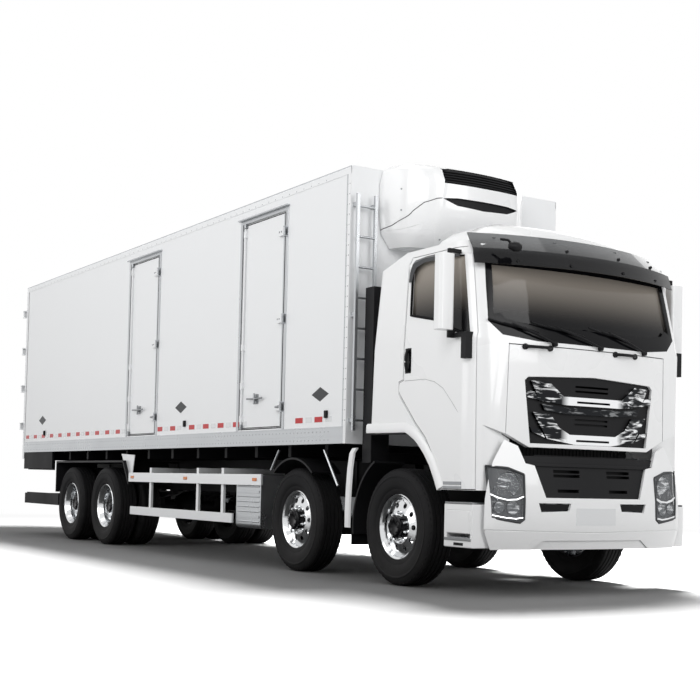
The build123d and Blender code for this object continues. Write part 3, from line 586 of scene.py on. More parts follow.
class Surfaces:
    """Where the curved front faces of the cab, bumper and cooler lie."""

    # Each row is z, front x on the centre line, half width and bow of the front
    CAB = (
        (0.870, AXLE_1 + 1.270, 1.220, 0.120), (2.130, AXLE_1 + 1.290, 1.220, 0.130),
        (2.860, AXLE_1 + 1.130, 1.185, 0.130), (3.000, AXLE_1 + 1.010, 1.110, 0.120),
    )
    BUMPER = (
        (0.385, AXLE_1 + 1.315, 1.200, 0.130), (0.560, AXLE_1 + 1.340, 1.225, 0.130),
        (0.800, AXLE_1 + 1.335, 1.225, 0.130), (1.390, AXLE_1 + 1.270, 1.205, 0.120),
    )
    COOLER = (
        (3.175, AXLE_1 - 0.420, 0.760, 0.110), (3.300, AXLE_1 - 0.270, 0.865, 0.170),
        (3.480, AXLE_1 - 0.170, 0.895, 0.200), (3.790, AXLE_1 - 0.165, 0.895, 0.200),
        (3.915, AXLE_1 - 0.235, 0.860, 0.180), (3.975, AXLE_1 - 0.400, 0.760, 0.110),
    )

    @staticmethod
    def front(rows: Sequence[tuple[float, float, float, float]], y: float, z: float) -> float:
        """Give the x of a bowed front face.

        Args:
            rows: Sections of the body, lowest first.
            y: Distance from its centre line.
            z: Height.

        Returns:
            The x of the face at that place.
        """
        for low, high in zip(rows, rows[1:]):
            if z <= high[0] or high is rows[-1]:
                break
        part = min(max((z - low[0]) / (high[0] - low[0]), 0.0), 1.0)
        x, half, bow = (a + (b - a) * part for a, b in zip(low[1:], high[1:]))
        radius = (half * half + bow * bow) / (2 * bow)
        return x - (radius - math.sqrt(max(radius * radius - y * y, 0.0)))

    @classmethod
    def cab(cls, y: float, z: float, out: float = 0.0) -> Point:
        """Give a point on the cab's front, a little way out of it."""
        return (cls.front(cls.CAB, y, z) + out, y, z)

    @classmethod
    def bumper(cls, y: float, z: float, out: float = 0.0) -> Point:
        """Give a point on the bumper's front, a little way out of it."""
        return (cls.front(cls.BUMPER, y, z) + out, y, z)


def inside(y: float, z: float, outline: Sequence[Pair]) -> bool:
    """Tell whether a point lies in an outline of (y, z) points."""
    hit = False
    for (y0, z0), (y1, z1) in zip(outline, (*outline[1:], outline[0])):
        if (z0 > z) != (z1 > z) and y < (y1 - y0) * (z - z0) / (z1 - z0) + y0:
            hit = not hit
    return hit


class Repeat(Enum):
    """The two ways in which a small shape is repeated."""

    ROW = "row"
    RING = "ring"


class Repeater:
    """Geometry Nodes trees that repeat one small shape along a row or round an axle."""

    @staticmethod
    @cache
    def tree(kind: Repeat) -> bpy.types.NodeTree:
        """Build a repeating tree, once.

        Args:
            kind: Row or ring.

        Returns:
            The Geometry Nodes tree.
        """
        tree = bpy.data.node_groups.new(f"repeat_{kind.value}", "GeometryNodeTree")
        for name, form in (("Shape", "Geometry"), ("Count", "Int"), ("Place", "Vector"),
                           ("Step", "Vector"), ("Finish", "Material")):
            tree.interface.new_socket(name, in_out="INPUT", socket_type=f"NodeSocket{form}")
        tree.interface.new_socket(
            "Result", in_out="OUTPUT", socket_type="NodeSocketGeometry")
        wiring = Wiring(tree)
        entry, leave = wiring.add("NodeGroupInput"), wiring.add("NodeGroupOutput")
        line = wiring.add("GeometryNodeMeshLine", mode="OFFSET")
        copies = wiring.add("GeometryNodeInstanceOnPoints")
        placed = wiring.add("GeometryNodeTransform")
        real = wiring.add("GeometryNodeRealizeInstances")
        paint = wiring.add("GeometryNodeSetMaterial")
        wiring.join(
            (entry, "Count", line, "Count"), (line, "Mesh", copies, "Points"),
            (entry, "Shape", copies, "Instance"), (copies, "Instances", placed, "Geometry"),
            (entry, "Place", placed, "Translation"), (placed, "Geometry", real, "Geometry"),
            (real, "Geometry", paint, "Geometry"), (entry, "Finish", paint, "Material"),
            (paint, "Geometry", leave, "Result"))
        if kind is Repeat.ROW:
            wiring.join((entry, "Step", line, "Offset"))
            return tree
        line.inputs["Offset"].default_value = (0.0, 0.0, 0.0)
        index = wiring.add("GeometryNodeInputIndex")
        turned = wiring.add("ShaderNodeVectorMath", operation="SCALE")
        wiring.join((entry, "Step", turned, 0), (index, "Index", turned, "Scale"),
                    (turned, "Vector", copies, "Rotation"))
        return tree

    @staticmethod
    def add(mesh: bmesh.types.BMesh, kind: Repeat, shape: bmesh.types.BMesh, count: int,
            place: Point, step: Point) -> None:
        """Repeat a shape and add the copies to a bmesh.

        Args:
            mesh: The bmesh that takes the copies.
            kind: Row or ring.
            shape: The small shape, which is kept.
            count: Number of copies.
            place: Where the first copy of a row, or the middle of a ring, goes.
            step: Way from one copy to the next, or turn between two copies of a ring.
        """
        data = bpy.data.meshes.new("shape")
        shape.to_mesh(data)
        carrier = bpy.data.objects.new("shape", data)
        bpy.context.scene.collection.objects.link(carrier)
        nodes = carrier.modifiers.new("repeat", "NODES")
        nodes.node_group = Repeater.tree(kind)
        values = {"Count": count, "Place": place, "Step": step,
                  "Finish": BLACK_PLASTIC.build()}
        for item in nodes.node_group.interface.items_tree:
            if item.in_out == "INPUT" and item.name in values:
                nodes[item.identifier] = values[item.name]
        carrier.update_tag()
        graph = bpy.context.evaluated_depsgraph_get()
        made = bpy.data.meshes.new_from_object(carrier.evaluated_get(graph))
        carrier.modifiers.clear()
        mesh.from_mesh(made)
        bpy.data.objects.remove(carrier)
        bpy.data.meshes.remove(made)


@dataclass
class Tyre:
    """One tyre: a turned carcass with grooves, and shoulder lugs round both edges."""

    radius: float = 0.525
    bead: float = 0.287
    half: float = 0.149
    tread_half: float = 0.104
    groove: float = 0.012
    grooves: tuple[float, ...] = (-0.066, -0.022, 0.022, 0.066)
    lugs: int = 54
    steps: int = 80

    def profile(self) -> list[Pair]:
        """Give the closed section as (radius, y) points.

        Returns:
            The points, from the inner bead over the tread to the outer one.
        """
        wall = [
            (self.bead, 0.104), (0.300, 0.122), (0.318, 0.131), (0.340, 0.133), (0.347, 0.138),
            (0.380, 0.145), (0.415, self.half), (0.442, self.half), (0.447, 0.1515),
            (0.458, 0.1515), (0.463, 0.146), (0.488, 0.139), (0.505, 0.128), (0.511, 0.120),
            (self.radius - 0.006, 0.113), (self.radius - 0.001, self.tread_half),
        ]
        tread = []
        for y in self.grooves:
            tread += [
                (self.radius, y - 0.006), (self.radius - self.groove, y - 0.004),
                (self.radius - self.groove, y + 0.004), (self.radius, y + 0.006),
            ]
        return [(r, -y) for r, y in wall] + tread + list(reversed(wall))

    def add(self, mesh: bmesh.types.BMesh, centre: Point) -> None:
        """Add the carcass and its lugs to a bmesh.

        Args:
            mesh: The bmesh to add to.
            centre: Middle of the tyre.
        """
        Shop.lathe(mesh, self.profile(), centre, self.steps)
        lug = bmesh.new()
        for sign in (-1, 1):
            low = (-0.0115, sign * 0.086, self.radius - 0.014)
            high = (0.0115, sign * 0.126, self.radius - 0.0006)
            Shop.block(lug, low, high)
        for vert in lug.verts:
            if abs(vert.co.y) > 0.12:
                vert.co.z -= 0.012
        Repeater.add(mesh, Repeat.RING, lug, self.lugs, centre,
                     (0.0, math.tau / self.lugs, 0.0))
        lug.free()


@dataclass
class Wheels:
    """Tyres, wheel nuts, hub caps and valves of the eight wheels."""

    front_y: float = 1.030
    outer_y: float = 1.095
    inner_y: float = 0.757
    nut_ring: float = 0.128
    nuts: int = 10
    nut_radius: float = 0.0155

    def nut(self) -> bmesh.types.BMesh:
        """Make one wheel nut with its washer and stud, pointing along +Y.

        Returns:
            The bmesh, standing on its ring above the axle.
        """
        mesh = bmesh.new()
        z = self.nut_ring
        Shop.rod(mesh, (0, 0, z), (0, 0.006, z), self.nut_radius * 1.35, 14)
        Shop.rod(mesh, (0, 0.005, z), (0, 0.030, z), self.nut_radius, 6,
                 self.nut_radius * 0.82)
        Shop.rod(mesh, (0, 0.029, z), (0, 0.038, z), self.nut_radius * 0.55, 10)
        return mesh

    def hardware(self, name: str, body: str, centre: Point, face_y: float, sign: int) -> None:
        """Add chrome nuts and a valve to one wheel.

        Args:
            name: Ending of the piece names.
            body: Body that the wheel is.
            centre: Middle of the wheel on the axle line.
            face_y: Y of the disc's outer face.
            sign: Side of the vehicle.
        """
        nut = self.nut()
        for vert in nut.verts:
            vert.co.y *= sign
        ring = bmesh.new()
        Repeater.add(ring, Repeat.RING, nut, self.nuts, (centre[0], face_y, centre[2]),
                     (0.0, math.tau / self.nuts, 0.0))
        nut.free()
        Shop.tube(ring, [
            (centre[0], face_y - sign * 0.02, centre[2] + 0.245),
            (centre[0], face_y + sign * 0.012, centre[2] + 0.240),
            (centre[0], face_y + sign * 0.045, centre[2] + 0.215)], 0.005, 8)
        Shop.piece(f"wheel_nuts_{name}", ring, CHROME, body)

    def hub(self, name: str, body: str, centre: Point, tip_y: float, radius: float,
            sign: int) -> None:
        """Add the dark hub cap with a rim of small bolts.

        Args:
            name: Ending of the piece name.
            body: Body that the wheel is.
            centre: Middle of the wheel on the axle line.
            tip_y: Y of the hub's outer end.
            radius: Radius of the hub.
            sign: Side of the vehicle.
        """
        cap = bmesh.new()
        profile = [
            (0.0005, 0.004), (radius * 0.45, 0.004), (radius * 0.55, 0.009),
            (radius * 0.80, 0.009), (radius * 0.86, 0.002), (radius + 0.002, -0.006),
            (radius + 0.002, -0.070), (radius + 0.009, -0.074), (radius + 0.009, -0.084),
            (0.0005, -0.084),
        ]
        Shop.lathe(cap, [(r, y * sign) for r, y in profile], (centre[0], tip_y, centre[2]), 40)
        bolt = bmesh.new()
        z = radius * 0.675
        Shop.rod(bolt, (0, sign * 0.007, z), (0, sign * 0.016, z), 0.007, 6)
        Repeater.add(cap, Repeat.RING, bolt, 8, (centre[0], tip_y, centre[2]),
                     (0.0, math.tau / 8, 0.0))
        bolt.free()
        Shop.piece(f"hub_cap_{name}", cap, BLACK_GLOSS, body)

    def build(self) -> None:
        """Build the tyres and hardware of every wheel."""
        tyre = Tyre()
        for number, x in enumerate(AXLES, 1):
            for side in Side:
                sign, word = side.value, side.word
                body = f"wheel_{number}_{word}"
                steered = number < 3
                rows = (self.front_y,) if steered else (self.outer_y, self.inner_y)
                mesh = bmesh.new()
                for y in rows:
                    tyre.add(mesh, (x, sign * y, WHEEL_Z))
                made = Shop.piece(f"tread_{number}_{word}", mesh, TYRE_RUBBER, body, 24)
                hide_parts(f"tyre_{number}_{word}")
                centre = (x, 0.0, WHEEL_Z)
                disc = self.front_y + 0.099 if steered else self.outer_y - 0.046
                tip = self.front_y + 0.158 if steered else self.outer_y + 0.068
                self.hardware(f"{number}_{word}", body, centre, sign * disc, sign)
                self.hub(f"{number}_{word}", body, centre, sign * tip, 0.098, sign)
        LOG.info("wheels: %d", 2 * len(AXLES))


def rim_bars(a: float, b: float, c: float, d: float,
             width: float) -> tuple[tuple[float, float, float, float], ...]:
    """Give the four bars inside a rectangle's edge, each as low, high, foot and top."""
    return ((a, a + width, c, d), (b - width, b, c, d), (a + width, b - width, c, c + width),
            (a + width, b - width, d - width, d))


@dataclass
class BoxDress:
    """Profiles, rivets, reflectors, door frames and locks of the insulated box."""

    skin: float = BOX_SIDE_Y
    sill: Pair = (1.280, 1.440)
    top: float = 3.930
    doors: tuple[tuple[str, float, float, float, float], ...] = (
        ("front", AXLE_1 - 2.980, AXLE_1 - 1.990, 1.455, 3.710),
        ("rear", AXLE_1 - 6.210, AXLE_1 - 5.265, 1.455, 3.710),
    )
    diamonds: tuple[float, ...] = (AXLE_1 - 1.226, AXLE_1 - 4.515, AXLE_1 - 9.670)
    diamond: Point = (0.165, 0.071, 1.767)
    latch_z: Pair = (1.530, 1.604)
    rivet: float = 0.008
    tape_z: Pair = (1.494, 1.548)
    tape_pitch: float = 0.385
    tape_runs: tuple[tuple[float, int], ...] = (
        (AXLE_1 - 10.452, 11), (AXLE_1 - 5.199, 2), (AXLE_1 - 4.266, 4), (AXLE_1 - 1.708, 2))
    lock_offset: float = 0.325

    def rivet_shape(self, sign: int) -> bmesh.types.BMesh:
        """Make one low domed rivet that points outwards on a side.

        Args:
            sign: Side of the vehicle.

        Returns:
            The bmesh of the rivet.
        """
        mesh = bmesh.new()
        Shop.rod(mesh, (0, 0, 0), (0, sign * 0.0022, 0), self.rivet, 8, self.rivet * 0.6)
        return mesh

    def profiles(self) -> None:
        """Add the aluminium rails and posts that frame each side."""
        for side in Side:
            s = side.value
            y0, y1 = s * (self.skin - 0.002), s * (self.skin + 0.0045)
            under = self.top - 0.075
            mesh = bmesh.new()
            for x0, x1, z0, z1 in (
                    (BOX_REAR_X, BOX_FRONT_X, under, self.top - 0.004),
                    (BOX_FRONT_X - 0.075, BOX_FRONT_X - 0.001, self.sill[0], under),
                    (BOX_REAR_X + 0.001, BOX_REAR_X + 0.090, 1.182, under)):
                Shop.block(mesh, (x0, y0, z0), (x1, y1, z1))
            for z0, z1 in ((1.280, 1.287), (1.352, 1.360), (1.433, 1.442)):
                Shop.block(mesh, (BOX_REAR_X + 0.09, s * 1.278, z0),
                           (BOX_FRONT_X - 0.052, s * (self.skin + 0.0145), z1))
            Shop.piece(f"box_profiles_{side.word}", mesh, ALUMINIUM, "truck")
            rivets = bmesh.new()
            shape = self.rivet_shape(s)
            for z, y, pitch in (
                    (1.318, s * 1.280, 0.075), (1.398, s * 1.280, 0.075),
                    (3.865, s * (self.skin + 0.0042), 0.15)):
                length = BOX_FRONT_X - BOX_REAR_X - 0.30
                count = int(length / pitch)
                Repeater.add(rivets, Repeat.ROW, shape, count, (BOX_REAR_X + 0.12, y, z),
                             (pitch, 0.0, 0.0))
            for x in (BOX_FRONT_X - 0.02, BOX_FRONT_X - 0.055, BOX_REAR_X + 0.03):
                Repeater.add(rivets, Repeat.ROW, shape, 24, (x, s * (self.skin + 0.0042), 1.50),
                             (0.0, 0.0, 0.098))
            shape.free()
            Shop.piece(f"box_rivets_{side.word}", rivets, GREY_STEEL, "truck")

    def tape(self) -> None:
        """Add the red and white reflective dashes above the sills and up the rear posts."""
        for side in Side:
            s = side.value
            y = s * (self.skin + 0.0008)
            for finish, shift, width, word in ((RED_REFLECTOR, 0.0, 0.150, "red"),
                                               (WHITE_REFLECTOR, 0.208, 0.120, "white")):
                mesh = bmesh.new()
                for start, count in self.tape_runs:
                    for i in range(count):
                        x = start + shift + i * self.tape_pitch
                        Shop.block(mesh, (x, y, self.tape_z[0]),
                                   (x + width, y + s * 0.001, self.tape_z[1]))
                Shop.piece(f"tape_{word}_{side.word}", mesh, finish, "truck")
        for finish, shift, word in ((RED_REFLECTOR, 0.0, "red"), (WHITE_REFLECTOR, 0.15, "white")):
            mesh = bmesh.new()
            for s in (-1, 1):
                for i in range(8):
                    z = 1.50 + shift + i * 0.30
                    Shop.block(mesh, (BOX_REAR_X - 0.001, s * 1.227 - 0.025, z),
                               (BOX_REAR_X + 0.001, s * 1.227 + 0.025, z + 0.13))
            Shop.piece(f"tape_{word}_rear", mesh, finish, "truck")

    def marks(self) -> None:
        """Add the dark diamonds and the small black latches below them."""
        for side in Side:
            s = side.value
            y = self.skin
            plates, latches = bmesh.new(), bmesh.new()
            wide, high, z = self.diamond
            for x in self.diamonds:
                corners = ((wide, 0.0), (0.0, high), (-wide, 0.0), (0.0, -high))
                inner = [plates.verts.new((x + a, s * (y + 0.0015), z + b)) for a, b in corners]
                outer = [plates.verts.new((x + a, s * (y - 0.001), z + b)) for a, b in corners]
                Shop.bridge(plates, (inner, outer), caps=True)
                if side is Side.RIGHT:
                    lx = x + 0.115
                    Shop.block(latches, (lx, s * (y + 0.026), self.latch_z[0]),
                               (lx + 0.045, s * (y - 0.001), self.latch_z[1]))
            Shop.piece(f"diamonds_{side.word}", plates, GREY_TRIM, "truck")
            if side is Side.RIGHT:
                Shop.piece("side_latches", latches, BLACK_PLASTIC, "truck", bevel=0.006)
            else:
                latches.free()

    def side_doors(self) -> None:
        """Add a frame, a seal, hinge straps, a lock handle and keepers at each side door."""
        for name, x0, x1, z0, z1 in self.doors:
            y = -self.skin
            frame_mesh = bmesh.new()
            for a, b, c, d in (
                    (x0 - 0.045, x0 + 0.004, z0 - 0.012, z1 + 0.04),
                    (x1 - 0.004, x1 + 0.045, z0 - 0.012, z1 + 0.04),
                    (x0 + 0.004, x1 - 0.004, z1 + 0.001, z1 + 0.04)):
                Shop.block(frame_mesh, (a, y - 0.007, c), (b, y + 0.002, d))
            Shop.piece(f"door_frame_{name}", frame_mesh, ALUMINIUM, "truck", bevel=0.002)
            seal = bmesh.new()
            a, b, c, d = x0 + 0.020, x1 - 0.016, z0 + 0.016, z1 - 0.016
            for lx, hx, lz, hz in rim_bars(a, b, c, d, 0.008):
                Shop.block(seal, (lx, y - 0.0025, lz), (hx, y + 0.002, hz))
            Shop.piece(f"door_seal_{name}", seal, BLACK_RUBBER, f"side_door_{name}")
            edge = bmesh.new()
            for lx in (a + 0.010, b - 0.034):
                Shop.block(edge, (lx, y - 0.004, c + 0.01), (lx + 0.024, y + 0.001, d - 0.01))
            Shop.piece(f"door_edge_{name}", edge, ALUMINIUM, f"side_door_{name}")
            lock = bmesh.new()
            x = x0 + 0.090
            z = z0 + 0.325
            cross = x0 + 0.09 + self.lock_offset
            Shop.block(lock, (cross - 0.045, y - 0.012, z - 0.050), (cross + 0.045, y, z + 0.050))
            Shop.rod(lock, (cross, y, z), (cross, y - 0.034, z), 0.022, 14)
            Shop.tube(lock, [(cross - 0.165, y - 0.032, z + 0.006), (cross, y - 0.030, z),
                             (cross + 0.080, y - 0.032, z), (cross + 0.175, y - 0.034, z + 0.004)],
                      0.010)
            Shop.rod(lock, (cross, y - 0.031, z - 0.058), (cross, y - 0.031, z + 0.060), 0.010)
            for z in (z0 + 0.03, z1 - 0.03):
                Shop.rod(lock, (x, y - 0.018, z - 0.02), (x, y - 0.018, z + 0.03), 0.017)
                Shop.block(lock, (x - 0.03, y - 0.012, z - 0.02), (x + 0.03, y, z + 0.02))
            low_hinge = z0 + 0.220
            Shop.block(lock, (x1 - 0.120, y - 0.014, low_hinge - 0.030),
                       (x1 - 0.030, y, low_hinge + 0.026))
            Shop.rod(lock, (x1 - 0.10, y - 0.020, low_hinge), (x1 - 0.012, y - 0.030, low_hinge),
                     0.018, 14)
            for z in (z0 + 0.220, (z0 + z1) / 2, z1 - 0.220):
                Shop.rod(lock, (x1 + 0.014, y - 0.030, z - 0.041),
                         (x1 + 0.014, y - 0.030, z + 0.041), 0.0125)
                for dx in (-0.045, -0.085):
                    Shop.rod(lock, (x1 + dx, y - 0.034, z), (x1 + dx, y - 0.040, z), 0.009, 6)
            Shop.piece(f"door_lock_{name}", lock, GREY_STEEL, f"side_door_{name}")

    def rear(self) -> None:
        """Dress the rear doors and frame with seals, lock handles, lenses and plates."""
        x = BOX_REAR_X
        for side in Side:
            s = side.value
            body = f"rear_door_{side.word}"
            seal = bmesh.new()
            for ly, hy, lz, hz in rim_bars(0.010, 1.164, 1.456, 3.784, 0.014):
                Shop.block(seal, (x - 0.004, s * ly, lz),
                           (x + 0.002, s * hy, hz))
            Shop.piece(f"rear_seal_{side.word}", seal, BLACK_RUBBER, body)
            lock = bmesh.new()
            for y in (s * 0.300, s * 0.900):
                z = 1.92
                Shop.tube(lock, [(x - 0.030, y, z), (x - 0.040, y - s * 0.05, z),
                                 (x - 0.044, y - s * 0.14, z + 0.01),
                                 (x - 0.040, y - s * 0.21, z + 0.012)], 0.010)
                Shop.block(lock, (x - 0.016, y - s * 0.11, z - 0.04),
                           (x, y - s * 0.17, z + 0.05))
                for dz in (1.462, 3.770):
                    Shop.rod(lock, (x - 0.022, y, dz - 0.012), (x - 0.022, y, dz + 0.012), 0.020)
            Shop.piece(f"rear_lock_{side.word}", lock, GREY_STEEL, body)
            lens = bmesh.new()
            for i, w in enumerate((0.12, 0.12, 0.10)):
                y0 = s * (0.775 + i * 0.135)
                Shop.block(lens, (x + 0.022, y0, 1.035), (x + 0.032, y0 + s * w, 1.155))
            Shop.piece(f"tail_lens_{side.word}", lens, RED_LENS, "truck", bevel=0.006)
            marker = bmesh.new()
            for y in (s * 1.10, s * 0.25):
                Shop.block(marker, (x - 0.010, y - 0.05, 3.815), (x, y + 0.05, 3.845))
            Shop.piece(f"top_marker_{side.word}", marker, RED_LENS, "truck", bevel=0.004)
        plate = bmesh.new()
        Shop.block(plate, (x - 0.012, -0.26, 1.215), (x, 0.26, 1.325))
        Shop.piece("rear_plate", plate, WHITE_PLASTIC, "truck", bevel=0.003)

    def build(self) -> None:
        """Build the whole dress of the box."""
        self.profiles()
        self.tape()
        self.marks()
        self.side_doors()
        self.rear()
        LOG.info("box dressed")


@dataclass
class CabDress:
    """Glass surrounds, wipers, handles, strips and seams of the cab."""

    screen: tuple[Pair, ...] = (
        (1.010, 2.800), (1.050, 2.300), (0.930, 2.190), (0.600, 2.155),
        (0.000, 2.153), (-0.600, 2.155), (-0.930, 2.190), (-1.050, 2.300), (-1.010, 2.800),
        (-0.500, 2.803), (0.0, 2.805), (0.500, 2.803),
    )
    band: float = 0.035

    def screen_band(self) -> None:
        """Add the black surround that follows the windscreen's edge."""
        mesh = bmesh.new()
        middle = (0.0, 2.47)
        rings: list[list] = []
        for grow, out in ((0.022, 0.0012), (0.006, 0.0045), (-self.band, 0.0015)):
            ring = []
            for y, z in self.dense(self.screen):
                dy, dz = y - middle[0], z - middle[1]
                fy = y + math.copysign(min(abs(grow), abs(dy)), dy) * (1 if grow > 0 else -1)
                fz = z + math.copysign(min(abs(grow), abs(dz)), dz) * (1 if grow > 0 else -1)
                if grow < 0 and dz < -0.2:
                    fz += 0.075
                ring.append(mesh.verts.new(Surfaces.cab(fy, fz, out)))
            rings.append(ring)
        Shop.bridge(mesh, rings)
        Shop.piece("screen_band", mesh, BLACK_GLOSS, "cab", sheet=0.002)

    @staticmethod
    def dense(outline: Sequence[Pair], step: float = 0.08, closed: bool = True) -> list[Pair]:
        """Split an outline's edges into short runs.

        Args:
            outline: Corner points.
            step: Longest run.
            closed: Whether the last point joins the first.

        Returns:
            The finer outline.
        """
        points = []
        ends = (*outline[1:], outline[0]) if closed else outline[1:]
        for (y0, z0), (y1, z1) in zip(outline, ends):
            parts = max(1, int(math.hypot(y1 - y0, z1 - z0) / step))
            points += [(y0 + (y1 - y0) * i / parts, z0 + (z1 - z0) * i / parts)
                       for i in range(parts)]
        return points

    def wipers(self) -> None:
        """Add three wipers that rest along the foot of the windscreen."""
        mesh = bmesh.new()
        for pivot_y, reach in ((-0.455, 0.52), (0.050, 0.60), (0.600, 0.55)):
            base = Surfaces.cab(pivot_y, 2.118, 0.012)
            Shop.rod(mesh, Surfaces.cab(pivot_y, 2.118, -0.004),
                     Surfaces.cab(pivot_y, 2.118, 0.030), 0.022, 14)
            elbow = Surfaces.cab(pivot_y - reach * 0.38, 2.190, 0.040)
            tip = Surfaces.cab(pivot_y - reach * 0.80, 2.262, 0.034)
            Shop.tube(mesh, [(base[0] + 0.014, *base[1:]), elbow, tip], 0.011)
            blade = [Surfaces.cab(pivot_y - reach * (0.30 + 0.13 * i),
                                  2.205 + 0.012 * i + 0.004 * math.sin(i), 0.020)
                     for i in range(8)]
            Shop.tube(mesh, blade, 0.009, 8)
            Shop.tube(mesh, [(p[0] + 0.012, p[1], p[2] + 0.004) for p in blade[2:6]], 0.007, 8)
        Shop.piece("wipers", mesh, BLACK_PLASTIC, "cab")

    def handles(self) -> None:
        """Add the two grab handles above the grille panel and the door handles."""
        mesh = bmesh.new()
        for centre in (-0.62, 0.36):
            points = []
            for t in range(13):
                u = t / 12 * 2 - 1
                lift = 0.055 * (1 - abs(u) ** 4)
                points.append(Surfaces.cab(centre + u * 0.125, 2.080, 0.006 + lift * 0.72))
            Shop.tube(mesh, points, 0.0135)
            for u in (-1, 1):
                Shop.rod(mesh, Surfaces.cab(centre + u * 0.125, 2.080, -0.004),
                         Surfaces.cab(centre + u * 0.125, 2.080, 0.014), 0.026, 14)
        Shop.piece("grab_handles", mesh, BLACK_PLASTIC, "front_panel")
        for side in Side:
            s = side.value
            mesh = bmesh.new()
            x0, x1, z0, z1 = AXLE_1 + 0.165, AXLE_1 + 0.262, 1.885, 2.110
            y = 1.2205
            stand = 0.004 if s > 0 else 0.0
            Shop.block(mesh, (x0, s * (y - 0.004), z0), (x1, s * (y + stand), z1))
            Shop.piece(f"handle_cup_{side.word}", mesh, BLACK_GLOSS, f"cab_door_{side.word}",
                       bevel=0.002)
            mesh = bmesh.new()
            grip = []
            for i in range(11):
                bow = 0.022 * math.sin(math.pi * i / 10) ** 0.4
                grip.append(((x0 + x1) / 2, s * (y + 0.004 + bow),
                             z0 + 0.02 + (z1 - z0 - 0.04) * i / 10))
            Shop.tube(mesh, grip, 0.014)
            Shop.piece(f"door_handle_{side.word}", mesh, BLACK_PLASTIC,
                       f"cab_door_{side.word}")

    def door_trim(self) -> None:
        """Add window seals, rain deflectors and strips to both sides."""
        window = ((0.935, 2.850), (0.330, 2.870), (0.215, 2.820), (0.225, 2.400),
                  (0.590, 2.330), (0.830, 2.230), (1.080, 2.150))
        for side in Side:
            s = side.value
            body = f"cab_door_{side.word}"
            mesh = bmesh.new()
            loop = [self.side_point(x, z, s, 0.001) for x, z in self.dense(window, 0.05)]
            Shop.tube(mesh, [*loop, loop[0]], 0.011, 8)
            Shop.piece(f"window_seal_{side.word}", mesh, BLACK_RUBBER, body)
            mesh = bmesh.new()
            rain = [self.side_point(x, z, s, 0.030) for x, z in
                    ((0.205, 2.700), (0.212, 2.780), (0.250, 2.855), (0.400, 2.885),
                     (0.650, 2.880), (0.900, 2.868))]
            roof = [self.side_point(x, z, s, 0.004) for x, z in
                    ((0.175, 2.700), (0.178, 2.810), (0.225, 2.895), (0.400, 2.912),
                     (0.650, 2.908), (0.900, 2.896))]
            low = [self.side_point(x, z, s, 0.026) for x, z in
                   ((0.240, 2.690), (0.262, 2.760), (0.300, 2.815), (0.420, 2.845),
                    (0.650, 2.842), (0.900, 2.838))]
            strips = [[mesh.verts.new(p) for p in row] for row in (roof, rain, low)]
            Shop.bridge(mesh, strips, closed=False)
            Shop.piece(f"rain_deflector_{side.word}", mesh, GREY_TRIM, body, sheet=0.005)
            mesh = bmesh.new()
            for z0, z1, out in ((0.884, 0.902, 0.006), (0.912, 0.940, 0.003)):
                Shop.block(mesh, (AXLE_1 + 0.775, s * 1.216, z0),
                           (AXLE_1 + 1.020, s * (1.2205 + out), z1))
            Shop.piece(f"sill_strips_{side.word}", mesh, GREY_STEEL, body)

    @staticmethod
    def side_point(x: float, z: float, sign: int, out: float) -> Point:
        """Give a point on the cab's side.

        Args:
            x: Distance ahead of the front axle.
            z: Height.
            sign: Side of the vehicle.
            out: Distance outwards.

        Returns:
            The point, on the flat of the side or round the front corner.
        """
        rows = ((0.87, 1.220, 1.270, 0.12), (2.13, 1.220, 1.290, 0.13),
                (2.86, 1.185, 1.130, 0.13), (3.0, 1.110, 1.010, 0.12))
        for low, high in zip(rows, rows[1:]):
            if z <= high[0] or high is rows[-1]:
                break
        part = min(max((z - low[0]) / (high[0] - low[0]), 0.0), 1.0)
        half = low[1] + (high[1] - low[1]) * part
        front = low[2] + (high[2] - low[2]) * part - 0.125
        start = front - 0.21
        inwards = 0.0
        if x > start:
            reach = min((x - start) / 0.21, 0.95)
            inwards = 0.19 * (1 - math.sqrt(1 - reach * reach))
        return (AXLE_1 + x, sign * (half - inwards + out), z)

    def arches(self) -> None:
        """Add the raised lip round each front wheel arch and the dark liner."""
        lip = ((-0.430, 1.372), (0.196, 1.367), (0.300, 1.330), (0.386, 1.271),
               (0.490, 1.180), (0.575, 1.081), (0.650, 0.960), (0.700, 0.862))
        for side in Side:
            s = side.value
            mesh, liner = bmesh.new(), bmesh.new()
            rows, liner_rows = [], []
            for x, z in lip:
                nx, nz = self.outwards(lip, (x, z))
                rows.append([
                    mesh.verts.new(self.side_point(x + nx * d, z + nz * d, s, out))
                    for d, out in ((-0.001, -0.030), (-0.001, 0.012), (0.012, 0.016),
                                   (0.070, 0.014), (0.086, 0.001))])
                liner_rows.append([
                    liner.verts.new((AXLE_1 + x + nx * 0.004, s * y, z + nz * 0.004 - 0.008))
                    for y in (1.205, 1.160)])
            Shop.bridge(mesh, rows, closed=False)
            Shop.piece(f"arch_lip_{side.word}", mesh, WHITE_PAINT, "cab", 50, sheet=0.004)
            Shop.bridge(liner, liner_rows, closed=False)
            Shop.piece(f"arch_liner_{side.word}", liner, BLACK_PLASTIC, "cab", sheet=0.012)

    @staticmethod
    def outwards(points: Sequence[Pair], at: Pair) -> Pair:
        """Give the outward direction of an arch line at one of its points."""
        i = list(points).index(at)
        a, b = points[max(i - 1, 0)], points[min(i + 1, len(points) - 1)]
        dx, dz = b[0] - a[0], b[1] - a[1]
        size = math.hypot(dx, dz)
        return (-dz / size, dx / size)

